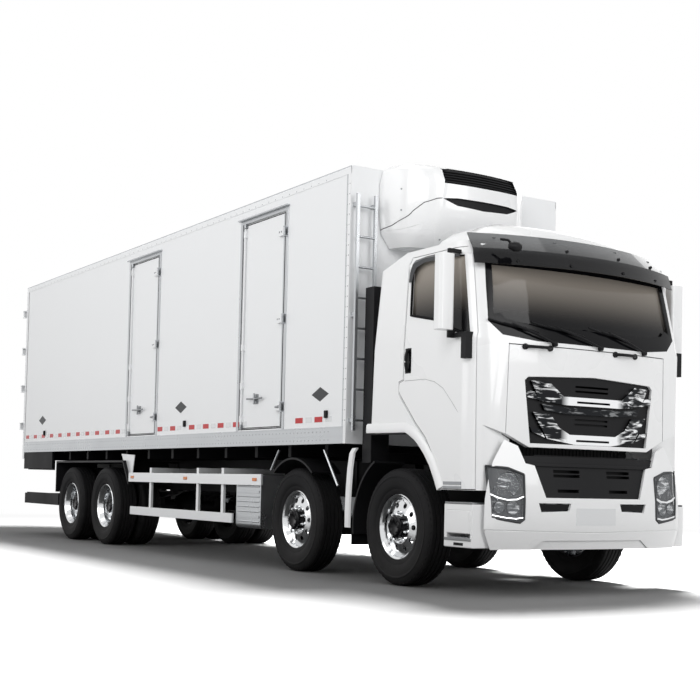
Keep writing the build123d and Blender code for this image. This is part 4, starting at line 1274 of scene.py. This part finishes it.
    def lines(self) -> None:
        """Add the seals round the cab doors and, above each wheel arch, a grey line of painted shade
        along the fold.
        """
        edge = ((0.160, 2.915), (0.148, 1.826), (0.084, 1.808), (0.086, 1.713),
                (0.347, 1.447), (0.499, 1.318), (0.669, 1.085), (0.752, 0.890))
        crease = ((0.165, 1.822), (0.475, 1.821), (0.620, 1.790), (0.745, 1.728),
                  (0.870, 1.610), (0.975, 1.504), (1.050, 1.470), (1.110, 1.452))
        for side in Side:
            s = side.value
            # The second line is painted shade: a grey tube half sunk along the fold above the arch
            for name, points, finish, radius in (
                    ("door_seal", edge, SEAM_GREY, 0.0032), ("crease", crease, CREASE_SHADE, 0.0040)):
                mesh = bmesh.new()
                line = [self.side_point(x, z, s, -radius * 0.55)
                        for x, z in self.dense(points, 0.05, closed=False)]
                Shop.tube(mesh, line, radius, 8)
                Shop.piece(f"{name}_{side.word}", mesh, finish, f"cab_door_{side.word}")

    def kerb_mirror(self) -> None:
        """Add the small mirror that looks down from the right corner of the visor."""
        mesh = bmesh.new()
        hub = Vector((AXLE_1 + 1.285, -0.905, 2.895))
        angles = [math.tau * k / 20 for k in range(20)]
        rows = [[mesh.verts.new(hub + Vector((
            math.cos(a) * radius * 0.7, along * 0.8, math.sin(a) * radius * 0.8)))
            for a in angles]
            for along, radius in ((-0.085, 0.012), (-0.070, 0.034), (-0.020, 0.050),
                                  (0.030, 0.052), (0.070, 0.036), (0.085, 0.012))]
        Shop.bridge(mesh, rows, caps=True)
        Shop.tube(mesh, [tuple(hub), (hub.x - 0.02, hub.y - 0.06, hub.z + 0.05),
                         (hub.x - 0.07, hub.y - 0.10, hub.z + 0.06)], 0.011)
        Shop.piece("kerb_mirror", mesh, BLACK_PLASTIC, "cab")

    def visor(self) -> None:
        """Add the visor's clips and the white marker lamps on its corners."""
        clips, lamps = bmesh.new(), bmesh.new()
        for y in (-0.80, -0.30, 0.30, 0.80):
            drop = 0.26 * (y / 1.15) ** 2
            for z, x in ((2.80, AXLE_1 + 1.322), (2.93, AXLE_1 + 1.262)):
                Shop.rod(clips, (x - drop - 0.012, y, z), (x - drop + 0.008, y, z), 0.013, 12)
        for s in (-1, 1):
            Shop.block(lamps, (AXLE_1 + 0.965, s * 0.93, 2.900),
                       (AXLE_1 + 1.035, s * 1.06, 2.945))
        Shop.piece("visor_clips", clips, BLACK_PLASTIC, "cab")
        Shop.piece("roof_markers", lamps, WHITE_REFLECTOR, "cab", bevel=0.012)

    def build(self) -> None:
        """Build the whole dress of the cab."""
        self.screen_band()
        self.wipers()
        self.handles()
        self.door_trim()
        self.arches()
        self.lines()
        self.kerb_mirror()
        self.visor()
        LOG.info("cab dressed")


@dataclass
class FrontLamps:
    """Reflectors, lenses and frames of the headlamps and fog lamps."""

    outline: tuple[Pair, ...] = ((0.750, 1.010), (0.760, 0.640), (0.800, 0.612),
                                 (1.060, 0.650), (1.085, 1.075), (0.900, 1.060))

    def sheet(self, outline: Sequence[Pair], sign: int, out: float) -> bmesh.types.BMesh:
        """Lay a fine sheet over the bumper's face inside an outline.

        Args:
            outline: Corners as (y, z), for the left side.
            sign: Side of the vehicle.
            out: Distance outwards from the bumper's face.

        Returns:
            The bmesh of the sheet.
        """
        mesh = bmesh.new()
        ys = [p[0] for p in outline]
        zs = [p[1] for p in outline]
        corners = [mesh.verts.new((0.0, y, z)) for y, z in outline]
        mesh.faces.new(corners)
        for axis, low, high in ((1, min(ys), max(ys)), (2, min(zs), max(zs))):
            for i in range(1, 8):
                at = low + (high - low) * i / 8
                point, normal = Vector((0, 0, 0)), Vector((0, 0, 0))
                point[axis], normal[axis] = at, 1.0
                bmesh.ops.bisect_plane(
                    mesh, geom=[*mesh.verts, *mesh.edges, *mesh.faces], plane_co=point,
                    plane_no=normal)
        for vert in mesh.verts:
            y, z = vert.co.y, vert.co.z
            vert.co = Vector(self.corner_point(y, z, sign, out))
        return mesh

    @staticmethod
    def corner_point(y: float, z: float, sign: int, out: float) -> Point:
        """Give a point on the bumper's face that follows its rounded corner."""
        x = Surfaces.front(Surfaces.BUMPER, y, z)
        if y > 0.93:
            reach = min((y - 0.93) / 0.29, 0.999)
            x -= 0.16 * (1 - math.sqrt(1 - reach * reach))
        return (x + out, sign * y, z)

    def backing(self) -> None:
        """Close the view through the lower grille with the radiator and its shroud."""
        mesh = bmesh.new()
        Shop.block(mesh, (AXLE_1 + 1.196, -0.600, 0.830), (AXLE_1 + 1.2085, 0.600, 1.180))
        Shop.block(mesh, (AXLE_1 + 0.870, -0.700, 1.070), (AXLE_1 + 0.960, 0.700, 1.360))
        for i in range(30):
            y = -0.60 + i * 0.041
            Shop.block(mesh, (AXLE_1 + 0.958, y, 1.080), (AXLE_1 + 0.966, y + 0.012, 1.350))
        Shop.piece("radiator", mesh, BLACK_PLASTIC, "truck")

    def build(self) -> None:
        """Build both headlamps and fog lamps."""
        self.backing()
        for side in Side:
            s = side.value
            shrunk = [(y + (0.915 - y) * 0.05, z + (0.85 - z) * 0.04) for y, z in self.outline]
            Shop.piece(f"lamp_base_{side.word}", self.sheet(self.outline, s, -0.019), GREY_TRIM,
                       "truck", sheet=0.004)
            bowl = bmesh.new()
            for cy, cz, r, depth in ((0.895, 0.925, 0.098, 0.030), (0.860, 0.735, 0.058, 0.020),
                                     (0.985, 0.735, 0.050, 0.020)):
                x, y, z = self.corner_point(cy, cz, s, -0.008)
                self.dish(bowl, (x, y, z), r, depth, s)
            Shop.piece(f"reflector_{side.word}", bowl, LAMP_CHROME, "truck", 60)
            arcs = bmesh.new()
            for rows in (((0.765, 0.825), (0.83, 0.800), (0.92, 0.795), (1.00, 0.812),
                          (1.062, 0.840)),
                         ((0.772, 0.650), (0.84, 0.640), (0.93, 0.648), (1.050, 0.668))):
                Shop.tube(arcs, [self.corner_point(y, z, s, -0.006) for y, z in rows], 0.012)
            Shop.piece(f"lamp_arc_{side.word}", arcs, CHROME, "truck")
            Shop.piece(f"lamp_cover_{side.word}", self.sheet(shrunk, s, 0.001), LENS, "truck",
                       sheet=0.003)
            rim = bmesh.new()
            loop = [self.corner_point(y, z, s, -0.001)
                    for y, z in CabDress.dense(self.outline, 0.04)]
            Shop.tube(rim, [*loop, loop[0]], 0.011, 8)
            Shop.piece(f"lamp_rim_{side.word}", rim, GREY_TRIM, "truck")
            fog = ((0.292, 0.768), (0.312, 0.718), (0.580, 0.708), (0.603, 0.768))
            Shop.piece(f"fog_base_{side.word}", self.sheet(fog, s, -0.017), BLACK_GLOSS, "truck",
                       sheet=0.004)
        plate = self.sheet(((-0.225, 0.590), (0.225, 0.590), (0.225, 0.735), (-0.225, 0.735)),
                           1, 0.0005)
        Shop.piece("front_plate", plate, WHITE_REFLECTOR, "truck", sheet=0.006)
        LOG.info("front lamps dressed")

    @staticmethod
    def dish(mesh: bmesh.types.BMesh, centre: Point, radius: float, depth: float,
             sign: int) -> None:
        """Add a closed reflector dish that faces forwards and slightly outwards.

        Args:
            mesh: The bmesh to add to.
            centre: Middle of the dish's rim.
            radius: Radius of the rim.
            depth: Depth of the bowl.
            sign: Side of the vehicle.
        """
        steps, rings = 28, []
        ahead = Vector((1.0, sign * 0.22, 0.0)).normalized()
        across = ahead.cross(Vector((0, 0, 1))).normalized()
        up = across.cross(ahead)
        rows = ((1.06, -0.006), (1.0, 0.0), (0.92, -0.35 * depth), (0.7, -0.75 * depth),
                (0.4, -0.95 * depth), (0.25, -0.9 * depth), (0.2, -0.35 * depth), (0.02, -0.2 * depth))
        for scale, deep in rows:
            ring = []
            for k in range(steps):
                a = math.tau * k / steps
                offset = (across * math.cos(a) + up * math.sin(a)) * radius * scale
                ring.append(mesh.verts.new(Vector(centre) + offset + ahead * deep))
            rings.append(ring)
        Shop.bridge(mesh, rings, caps=True)


@dataclass
class ChassisDress:
    """White mudguard edges, step treads, marker lamps and tank ribs below the body."""

    def edges(self) -> None:
        """Add the white outer edge of the mudguard behind each front wheel."""
        line = ((-0.640, 1.235), (-0.690, 1.190), (-0.722, 1.050), (-0.742, 0.850),
                (-0.752, 0.650), (-0.750, 0.490))
        for side in Side:
            s = side.value
            mesh = bmesh.new()
            rows = []
            for x, z in line:
                rows.append([mesh.verts.new((AXLE_1 + x + dx, s * y, z)) for dx, y in
                             ((-0.030, 1.216), (-0.022, 1.236), (0.050, 1.238), (0.062, 1.222))])
            Shop.bridge(mesh, rows, closed=False)
            Shop.piece(f"guard_edge_{side.word}", mesh, WHITE_PAINT, "truck", 50, sheet=0.006)
            flap = bmesh.new()
            Shop.block(flap, (AXLE_1 - 0.690, s * 0.885, 0.330),
                       (AXLE_1 - 0.678, s * 1.212, 0.500))
            Shop.piece(f"mud_flap_{side.word}", flap, BLACK_RUBBER, "truck", bevel=0.003)

    def steps(self) -> None:
        """Add ledges and treads to the entry steps."""
        for side in Side:
            s = side.value
            mesh = bmesh.new()
            for z in (0.470, 0.757):
                x0, x1 = AXLE_1 + 0.835, AXLE_1 + 1.145
                y0 = 1.205 if z > 0.5 else 1.200
                Shop.block(mesh, (x0, s * 1.03, z), (x1, s * y0, z + 0.010))
                for i in range(7):
                    x = x0 + 0.02 + i * 0.042
                    Shop.block(mesh, (x, s * 1.05, z + 0.009),
                               (x + 0.014, s * (y0 - 0.01), z + 0.015))
            Shop.piece(f"step_treads_{side.word}", mesh, GREY_STEEL, "truck")
            panel = bmesh.new()
            Shop.block(panel, (AXLE_1 + 0.826, s * 1.190, 0.512),
                       (AXLE_1 + 1.154, s * 1.2155, 0.704))
            Shop.piece(f"step_panel_{side.word}", panel, WHITE_PAINT, "truck", bevel=0.006)
            ledge = bmesh.new()
            Shop.block(ledge, (AXLE_1 + 0.800, s * 1.19, 0.452),
                       (AXLE_1 + 1.165, s * 1.222, 0.474))
            Shop.block(ledge, (AXLE_1 + 0.800, s * 1.205, 0.756),
                       (AXLE_1 + 1.170, s * 1.2165, 0.772))
            Shop.piece(f"step_ledge_{side.word}", ledge, LEDGE_GREY, "truck", bevel=0.003)
            # Painted shade: a thin black sheet on the step box stands for the shaded inside of a slot
            slot_shade = bmesh.new()
            Shop.block(slot_shade, (AXLE_1 + 0.930, s * 1.2145, 0.412),
                       (AXLE_1 + 1.060, s * 1.2170, 0.436))
            Shop.piece(f"step_slot_{side.word}", slot_shade, BLACK_PLASTIC, "truck")

    def tank(self) -> None:
        """Add ribs, straps and a cap to the tanks."""
        x0, x1 = AXLE_1 - 3.110, AXLE_1 - 2.535
        mesh = bmesh.new()
        for i in range(9):
            z = 0.470 + i * 0.054
            Shop.rod(mesh, (x0 + 0.03, -1.200, z), (x1 - 0.03, -1.200, z), 0.011, 10)
        Shop.piece("tank_ribs", mesh, ALUMINIUM, "truck")
        straps = bmesh.new()
        for x in (AXLE_1 - 3.8, AXLE_1 - 2.9):
            Shop.block(straps, (x - 0.03, 1.178, 0.50), (x + 0.03, 1.186, 0.87))
            Shop.block(straps, (x - 0.03, 0.74, 0.973), (x + 0.03, 1.08, 0.981))
        Shop.rod(straps, (AXLE_1 - 3.35, 1.05, 0.96), (AXLE_1 - 3.35, 1.05, 1.01), 0.045, 20)
        Shop.piece("tank_straps", straps, GREY_STEEL, "truck")

    def markers(self) -> None:
        """Add amber side markers along both side guards."""
        for side in Side:
            s = side.value
            mesh = bmesh.new()
            for x in (AXLE_1 - 2.62, AXLE_1 - 4.4, AXLE_1 - 6.05):
                Shop.block(mesh, (x - 0.045, s * 1.238, 0.905),
                           (x + 0.045, s * 1.250, 0.940))
            Shop.piece(f"side_markers_{side.word}", mesh, AMBER_LENS, "truck", bevel=0.004)

    def stays(self) -> None:
        """Add the thin stays and the pale splash plate on both sides."""
        lines = (((-1.236, 1.225), (-0.966, 0.877)), ((-2.155, 1.235), (-2.325, 1.026)))
        plate = ((-6.542, 1.230), (-6.221, 0.834), (-6.145, 0.965), (-6.079, 1.210))
        for side in Side:
            s = side.value
            mesh = bmesh.new()
            for (x0, z0), (x1, z1) in lines:
                Shop.rod(mesh, (AXLE_1 + x0, s * 1.20, z0), (AXLE_1 + x1, s * 1.20, z1), 0.014)
            Shop.piece(f"stays_{side.word}", mesh, ALUMINIUM, "truck")
            mesh = bmesh.new()
            rows = [[mesh.verts.new((AXLE_1 + x, s * y, z)) for x, z in plate]
                    for y in (1.195, 1.203)]
            Shop.bridge(mesh, rows, caps=True)
            Shop.piece(f"splash_plate_{side.word}", mesh, GUARD_ALUMINIUM, "truck")

    def build(self) -> None:
        """Build the whole dress below the body."""
        self.stays()
        self.edges()
        self.steps()
        self.tank()
        self.markers()
        LOG.info("chassis dressed")


@dataclass
class CabinSeats:
    """Padded seats that stand for the plain ones."""

    seat_y: float = 0.600
    pads: tuple[tuple[Point, Point, float], ...] = (
        # middle of the pad ahead of the front axle, size, crown
        ((0.400, 0.0, 1.835), (0.500, 0.480, 0.150), 0.030),
        ((0.125, 0.0, 2.190), (0.130, 0.460, 0.660), 0.025),
        ((0.120, 0.0, 2.620), (0.100, 0.260, 0.200), 0.018),
    )
    voxel: float = 0.011
    pressure: float = 4.0
    frames: int = 20
    reach: float = 0.009
    channel: float = 0.005
    channel_y: float = 0.085
    channel_half: float = 0.007

    @staticmethod
    def kept(obj: bpy.types.Object) -> None:
        """Put the evaluated mesh of an object in place of its modifiers."""
        graph = bpy.context.evaluated_depsgraph_get()
        mesh = bpy.data.meshes.new_from_object(obj.evaluated_get(graph))
        obj.modifiers.clear()
        mesh.materials.clear()
        for made in obj.data.materials:
            mesh.materials.append(made)
        obj.data = mesh

    def fabric(self, obj: bpy.types.Object, centre: Point) -> None:
        """Swell a pad with a short cloth simulation, then sew its channels.

        Args:
            obj: The pad.
            centre: Middle of the pad.
        """
        remesh = obj.modifiers.new("remesh", "REMESH")
        remesh.mode = "VOXEL"
        remesh.voxel_size = self.voxel
        self.kept(obj)
        before = [vert.co.copy() for vert in obj.data.vertices]
        cloth = obj.modifiers.new("cloth", "CLOTH")
        cloth.settings.use_pressure = True
        cloth.settings.uniform_pressure_force = self.pressure
        cloth.settings.effector_weights.gravity = 0.0
        cloth.point_cache.frame_end = self.frames
        scene = bpy.context.scene
        for frame in range(1, self.frames + 1):
            scene.frame_set(frame)
        self.kept(obj)
        scene.frame_set(1)
        for vert, old in zip(obj.data.vertices, before):
            move = vert.co - old
            if move.length > self.reach:
                vert.co = old + move.normalized() * self.reach
        finer = obj.modifiers.new("finer", "SUBSURF")
        finer.levels = 1
        finer.render_levels = 1
        self.kept(obj)
        inward = [-vert.normal.copy() for vert in obj.data.vertices]
        for vert, normal in zip(obj.data.vertices, inward):
            off = abs(vert.co.y - centre[1]) - self.channel_y
            vert.co += normal * self.channel * math.exp(-(off / self.channel_half) ** 2)
        for face in obj.data.polygons:
            face.use_smooth = True

    @staticmethod
    def cushion(centre: Point, size: Point, crown: float) -> bmesh.types.BMesh:
        """Make one crowned cushion with pulled-in sides.

        Args:
            centre: Middle of the cushion.
            size: Its full size.
            crown: Height of the swell in the middle of each face.

        Returns:
            The bmesh.
        """
        mesh = bmesh.new()
        bmesh.ops.create_cube(mesh, size=2.0)
        bmesh.ops.subdivide_edges(mesh, edges=list(mesh.edges), cuts=9, use_grid_fill=True)
        for vert in mesh.verts:
            c = vert.co
            flat = [abs(v) for v in c]
            swell = [1.0] * 3
            for k in range(3):
                others = [flat[j] for j in range(3) if j != k]
                if flat[k] > 0.999:
                    swell[k] += crown / (size[k] / 2) * (1 - others[0] ** 2) * (1 - others[1] ** 2)
            length = math.sqrt(sum(v ** 8 for v in flat)) ** 0.25 if any(flat) else 1.0
            pull = 1.0 / max(length, 1e-6) if length > 1 else 1.0
            vert.co = Vector([
                centre[k] + c[k] * pull * swell[k] * (size[k] / 2 - crown * 0.6)
                for k in range(3)])
        return mesh

    def build(self) -> None:
        """Build the two seats, pads and pedestals."""
        base = bmesh.new()
        for side in Side:
            y = side.value * self.seat_y
            for i, (place, size, crown) in enumerate(self.pads):
                centre = (AXLE_1 + place[0], y, place[2])
                made = Shop.piece(f"seat_pad_{i}_{side.word}",
                                  self.cushion(centre, size, crown), SEAT_CLOTH, "cab", 80)
                self.fabric(made, centre)
            Shop.block(base, (AXLE_1 + 0.200, y - 0.18, 1.440), (AXLE_1 + 0.600, y + 0.18, 1.762))
            for dy in (-0.08, 0.08):
                Shop.rod(base, (AXLE_1 + 0.12, y + dy, 2.48), (AXLE_1 + 0.12, y + dy, 2.58), 0.009)
        made = Shop.piece("seat_bases", base, BLACK_PLASTIC, "cab", bevel=0.012)
        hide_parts("seats")
        LOG.info("seats: %d pads", len(Side) * len(self.pads))


@dataclass
class CarriedNodes:
    """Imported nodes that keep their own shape, and the ones that get rounded edges."""

    rounded: dict[str, float] = field(default_factory=lambda: {
        "cab_shell": 0.005, "front_panel": 0.005, "cab_door_right": 0.005,
        "cab_door_left": 0.005, "front_bumper": 0.006, "roof_deflector": 0.012,
        "cooler_housing": 0.004, "step_boxes": 0.008, "mirror_right": 0.010,
        "mirror_left": 0.010, "side_tanks": 0.006, "lower_grille": 0.002,
        "upper_grille": 0.002, "dashboard": 0.006, "mudguards": 0.003,
        "guards": 0.004, "box_floor": 0.0, "lamps": 0.0, "air_intake": 0.012, "box_trim": 0.002,
        "side_door_front": 0.004, "side_door_rear": 0.004, "rear_door_right": 0.004,
        "rear_door_left": 0.004,
    })
    mouth: tuple[Pair, ...] = (
        (0.436, 3.910), (0.446, 3.762), (0.0, 3.756), (-0.446, 3.762), (-0.436, 3.910),
        (-0.334, 3.943), (0.334, 3.943))
    slit: tuple[Pair, ...] = (
        (0.468, 3.620), (0.303, 3.556), (0.0, 3.538), (-0.303, 3.556), (-0.468, 3.620),
        (-0.303, 3.636), (0.303, 3.636))
    cooler_y: float = -0.060
    cooler_shift: float = -0.055
    cooler_flat: float = 0.445
    cooler_half: float = 0.895
    cooler_plan: tuple[Pair, ...] = ((-0.73, 0.85), (-0.45, 0.71), (-0.30, 0.60),
                                     (-0.165, 0.46))
    cooler_seam: tuple[Point, ...] = (
        (-0.725, -0.990, 3.335), (-0.60, -0.880, 3.380), (-0.50, -0.776, 3.450),
        (-0.38, -0.660, 3.580), (-0.27, -0.600, 3.618), (-0.19, -0.600, 3.622))
    cooler_screws: tuple[Point, ...] = (
        (-0.50, -0.855, 3.718), (-0.50, -0.850, 3.515), (-0.50, -0.477, 3.419),
        (-0.50, -0.267, 3.417), (-0.50, -0.120, 3.416))
    dome: Pair = (3.0, 0.62)

    def zones(self, node: str) -> list[Zone]:
        """Give the parts of a node that have a finish of their own.

        Args:
            node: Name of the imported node.

        Returns:
            Pairs of a finish and a test of a face's middle and normal.
        """
        if node == "upper_grille":
            def proud(c: Vector, n: Vector) -> bool:
                """Say whether a face stands in front of the mouth's mesh."""
                return c.x > Surfaces.front(Surfaces.CAB, c.y, c.z) - 0.0235
            return [(DARK_CHROME, lambda c, n: proud(c, n) and 1.532 < c.z < 1.614
                     and abs(c.y) < 0.53), (WING_CHROME, proud)]
        if node == "guards":
            return [(CHASSIS, lambda c, n: c.x < -1.56)]
        if node == "box_floor":
            return [(CHASSIS, lambda c, n: c.z < 1.285)]
        if node == "lamps":
            return [(BLACK_PLASTIC, lambda c, n: c.x < 0.0), (DARK_CHROME, lambda c, n: True)]
        if node == "cooler_housing":
            return [(BLACK_PLASTIC, lambda c, n: c.x > BOX_FRONT_X + 0.10 and (
                inside(c.y - self.cooler_y, c.z, self.mouth)
                or inside(c.y - self.cooler_y, c.z, self.slit)))]
        if node.startswith("mirror"):
            return [(CHROME, lambda c, n: n.x < -0.8 and 2.2 < c.z < 2.84 and abs(c.y) > 1.28),
                    (WHITE_PAINT, lambda c, n: 2.19 < c.z < 2.845 and abs(c.y) > 1.268
                     and n.x > -0.8)]
        return []

    def taper_cooler(self, made: bpy.types.Object) -> None:
        """Taper the cooler's ends towards its front and move it to its place in the photo.

        Args:
            made: The refined copy of the cooler.
        """
        flat = self.cooler_flat
        for vert in made.data.vertices:
            rel = vert.co.x - AXLE_1
            for (x0, w0), (x1, w1) in zip(self.cooler_plan, self.cooler_plan[1:]):
                if rel <= x1 or x1 == self.cooler_plan[-1][0]:
                    break
            part = min(max((rel - x0) / (x1 - x0), 0.0), 1.0)
            wide = w0 + (w1 - w0) * part
            u = vert.co.y - self.cooler_y
            if abs(u) > flat:
                u = math.copysign(
                    flat + (abs(u) - flat) * (wide - flat) / (self.cooler_half - flat), u)
            vert.co.y = self.cooler_y + self.cooler_shift + u
        mesh = bmesh.new()
        mesh.from_mesh(made.data)
        tree = BVHTree.FromBMesh(mesh)
        mesh.free()
        seam = bmesh.new()
        line = []
        for a, b in zip(self.cooler_seam, self.cooler_seam[1:]):
            for i in range(8):
                point = Vector(a).lerp(Vector(b), i / 8) + Vector((AXLE_1, 0.0, 0.0))
                line.append(tuple(tree.find_nearest(point)[0]))
        Shop.tube(seam, line, 0.0042, 8)
        Shop.piece("cooler_seam", seam, SEAM_GREY, "truck")
        screws = bmesh.new()
        for place in self.cooler_screws:
            spot, normal, _, _ = tree.find_nearest(Vector(place) + Vector((AXLE_1, 0.0, 0.0)))
            Shop.rod(screws, tuple(spot - normal * 0.004), tuple(spot + normal * 0.004), 0.009)
        Shop.piece("cooler_screws", screws, GREY_STEEL, "truck")

    def dress(self) -> None:
        """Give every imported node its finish, and the rounded ones a refined copy."""
        slots = {row["node"]: row["material_slot"] for row in frame["record"]["subparts"]}
        for node, obj in frame["nodes"].items():
            finish = NODE_FINISHES[slots[node]]
            if node == "sun_visor":
                finish = SMOKED_WITH_PAINTED_REFLECTION
            if node in self.rounded:
                made = Shop.refined(node, finish, self.rounded[node], zones=self.zones(node))
                if node == "cooler_housing":
                    self.taper_cooler(made)
                if node == "upper_grille":
                    for vert in made.data.vertices:
                        vert.co.x += 0.0008
                if node == "roof_deflector":
                    for vert in made.data.vertices:
                        vert.co.z = self.dome[0] + (vert.co.z - self.dome[0]) * self.dome[1]
                continue
            obj.data.materials.clear()
            obj.data.materials.append(finish.build())
        LOG.info("carried nodes: %d, rounded: %d", len(frame["nodes"]), len(self.rounded))


@dataclass
class Studio:
    """Pale floor, soft light and the camera at the photograph's angle."""

    place: Point = (AXLE_1 + 9.37, -7.47, 0.91)
    yaw: float = 147.28
    pitch: float = 2.17
    roll: float = 1.27
    focal_px: float = 1258.0
    centre_px: Pair = (371.6, 435.6)
    frame_px: float = 700.0
    sensor_mm: float = 36.0
    floor_tone: float = 0.26
    floor_seen: float = 0.66
    fade: Pair = (9.0, 17.0)
    world_strength: float = 0.28
    lamps: tuple[tuple[str, Point, Point, float, float, bool], ...] = (
        # name, place, aim, size, power, whether it lights the floor alone
        ("key", (13.0, -13.0, 11.0), (0.0, -1.0, 1.5), 9.0, 1020.0, False),
        ("side", (-2.0, -17.0, 8.0), (-1.0, 0.0, 1.8), 12.0, 830.0, False),
        ("top", (0.0, 0.0, 15.0), (0.0, 0.0, 0.0), 14.0, 500.0, False),
        ("front", (20.0, 3.0, 7.0), (5.0, 0.0, 1.6), 8.0, 800.0, False),
        ("left", (-7.0, 16.0, 7.0), (-1.0, 0.0, 1.8), 11.0, 430.0, False),
        ("pool", (0.5, 3.2, 12.0), (0.0, 0.0, 0.0), 4.6, 8200.0, True),
    )

    def camera(self) -> None:
        """Place the camera and make it the scene's own."""
        data = bpy.data.cameras.new("camera")
        data.sensor_width = self.sensor_mm
        data.lens = self.focal_px * self.sensor_mm / self.frame_px
        data.shift_x = (self.frame_px / 2 - self.centre_px[0]) / self.frame_px
        data.shift_y = (self.centre_px[1] - self.frame_px / 2) / self.frame_px
        data.clip_end = 200.0
        yaw, pitch, roll = (math.radians(v) for v in (self.yaw, self.pitch, self.roll))
        ahead = Vector((
            math.cos(pitch) * math.cos(yaw), math.cos(pitch) * math.sin(yaw), math.sin(pitch)))
        right = ahead.cross(Vector((0.0, 0.0, 1.0))).normalized()
        up = right.cross(ahead)
        turned_right = right * math.cos(roll) + up * math.sin(roll)
        turned_up = up * math.cos(roll) - right * math.sin(roll)
        camera = bpy.data.objects.new("camera", data)
        camera.matrix_world = Matrix.Translation(self.place) @ Matrix((
            (turned_right.x, turned_up.x, -ahead.x, 0.0),
            (turned_right.y, turned_up.y, -ahead.y, 0.0),
            (turned_right.z, turned_up.z, -ahead.z, 0.0),
            (0.0, 0.0, 0.0, 1.0)))
        bpy.context.scene.collection.objects.link(camera)
        bpy.context.scene.camera = camera

    def floor(self) -> None:
        """Lay a wide pale floor that keeps the shadow and runs out into the background."""
        mesh = bmesh.new()
        bmesh.ops.create_grid(mesh, x_segments=1, y_segments=1, size=90.0)
        data = bpy.data.meshes.new("studio_floor")
        mesh.to_mesh(data)
        mesh.free()
        made = bpy.data.materials.new("studio_floor")
        made.use_nodes = True
        wiring = Wiring(made.node_tree)
        wiring.tree.nodes.remove(wiring.tree.nodes["Principled BSDF"])
        matt = wiring.add("ShaderNodeBsdfDiffuse")
        path = wiring.add("ShaderNodeLightPath")
        tone = wiring.add(
            "ShaderNodeMapRange", {"To Min": self.floor_tone, "To Max": self.floor_seen})
        coords = wiring.add("ShaderNodeTexCoord")
        reach = wiring.add("ShaderNodeVectorMath", operation="LENGTH")
        far = wiring.add(
            "ShaderNodeMapRange", {"From Min": self.fade[0], "From Max": self.fade[1]},
            interpolation_type="SMOOTHSTEP")
        white = wiring.add("ShaderNodeEmission")
        mixed = wiring.add("ShaderNodeMixShader")
        wiring.join(
            (path, "Is Camera Ray", tone, "Value"), (tone, "Result", matt, "Color"),
            (coords, "Object", reach, 0), (reach, "Value", far, "Value"),
            (far, "Result", mixed, 0), (matt, 0, mixed, 1), (white, 0, mixed, 2),
            (mixed, 0, wiring.tree.nodes["Material Output"], "Surface"))
        data.materials.append(made)
        floor = bpy.data.objects.new("studio_floor", data)
        bpy.context.scene.collection.objects.link(floor)

    def light(self) -> None:
        """Light the vehicle with a soft world and large lamps, one of them for the floor."""
        world = bpy.data.worlds.new("studio")
        bpy.context.scene.world = world
        world.use_nodes = True
        wiring = Wiring(world.node_tree)
        sky = wiring.tree.nodes["Background"]
        sky.inputs["Color"].default_value = (1.0, 1.0, 1.0, 1.0)
        path = wiring.add("ShaderNodeLightPath")
        seen = wiring.add("ShaderNodeMath", operation="MAXIMUM")
        seen_all = wiring.add("ShaderNodeMath", operation="MAXIMUM")
        strength = wiring.add(
            "ShaderNodeMapRange", {"To Min": self.world_strength, "To Max": 1.0})
        wiring.join(
            (path, "Is Camera Ray", seen, 0), (path, "Is Glossy Ray", seen, 1),
            (seen, 0, seen_all, 0), (path, "Is Transmission Ray", seen_all, 1),
            (seen_all, 0, strength, "Value"), (strength, "Result", sky, "Strength"))
        floor = bpy.data.objects["studio_floor"]
        for name, place, aim, size, power, floor_only in self.lamps:
            data = bpy.data.lights.new(name, "AREA")
            data.size = size
            data.energy = power
            lamp = bpy.data.objects.new(name, data)
            ahead = Vector(aim) - Vector(place)
            turn = ahead.to_track_quat("-Z", "Y").to_matrix().to_4x4()
            lamp.matrix_world = Matrix.Translation(place) @ turn
            bpy.context.scene.collection.objects.link(lamp)
            lit = bpy.data.collections.new(f"{name}_lights")
            lit.objects.link(floor)
            lamp.light_linking.receiver_collection = lit
            state = "INCLUDE" if floor_only else "EXCLUDE"
            lit.collection_objects[0].light_linking.link_state = state

    def build(self) -> None:
        """Set the view transform and make camera, floor and light."""
        bpy.context.scene.view_settings.view_transform = "Standard"
        self.camera()
        self.floor()
        self.light()


def main() -> None:
    """Build every sub-assembly in order."""
    logging.basicConfig(level=logging.INFO, format="%(message)s")
    CarriedNodes().dress()
    for part in (Wheels(), BoxDress(), CabDress(), FrontLamps(), ChassisDress(), CabinSeats(),
                 Studio()):
        part.build()


if __name__ == "__main__":
    main()
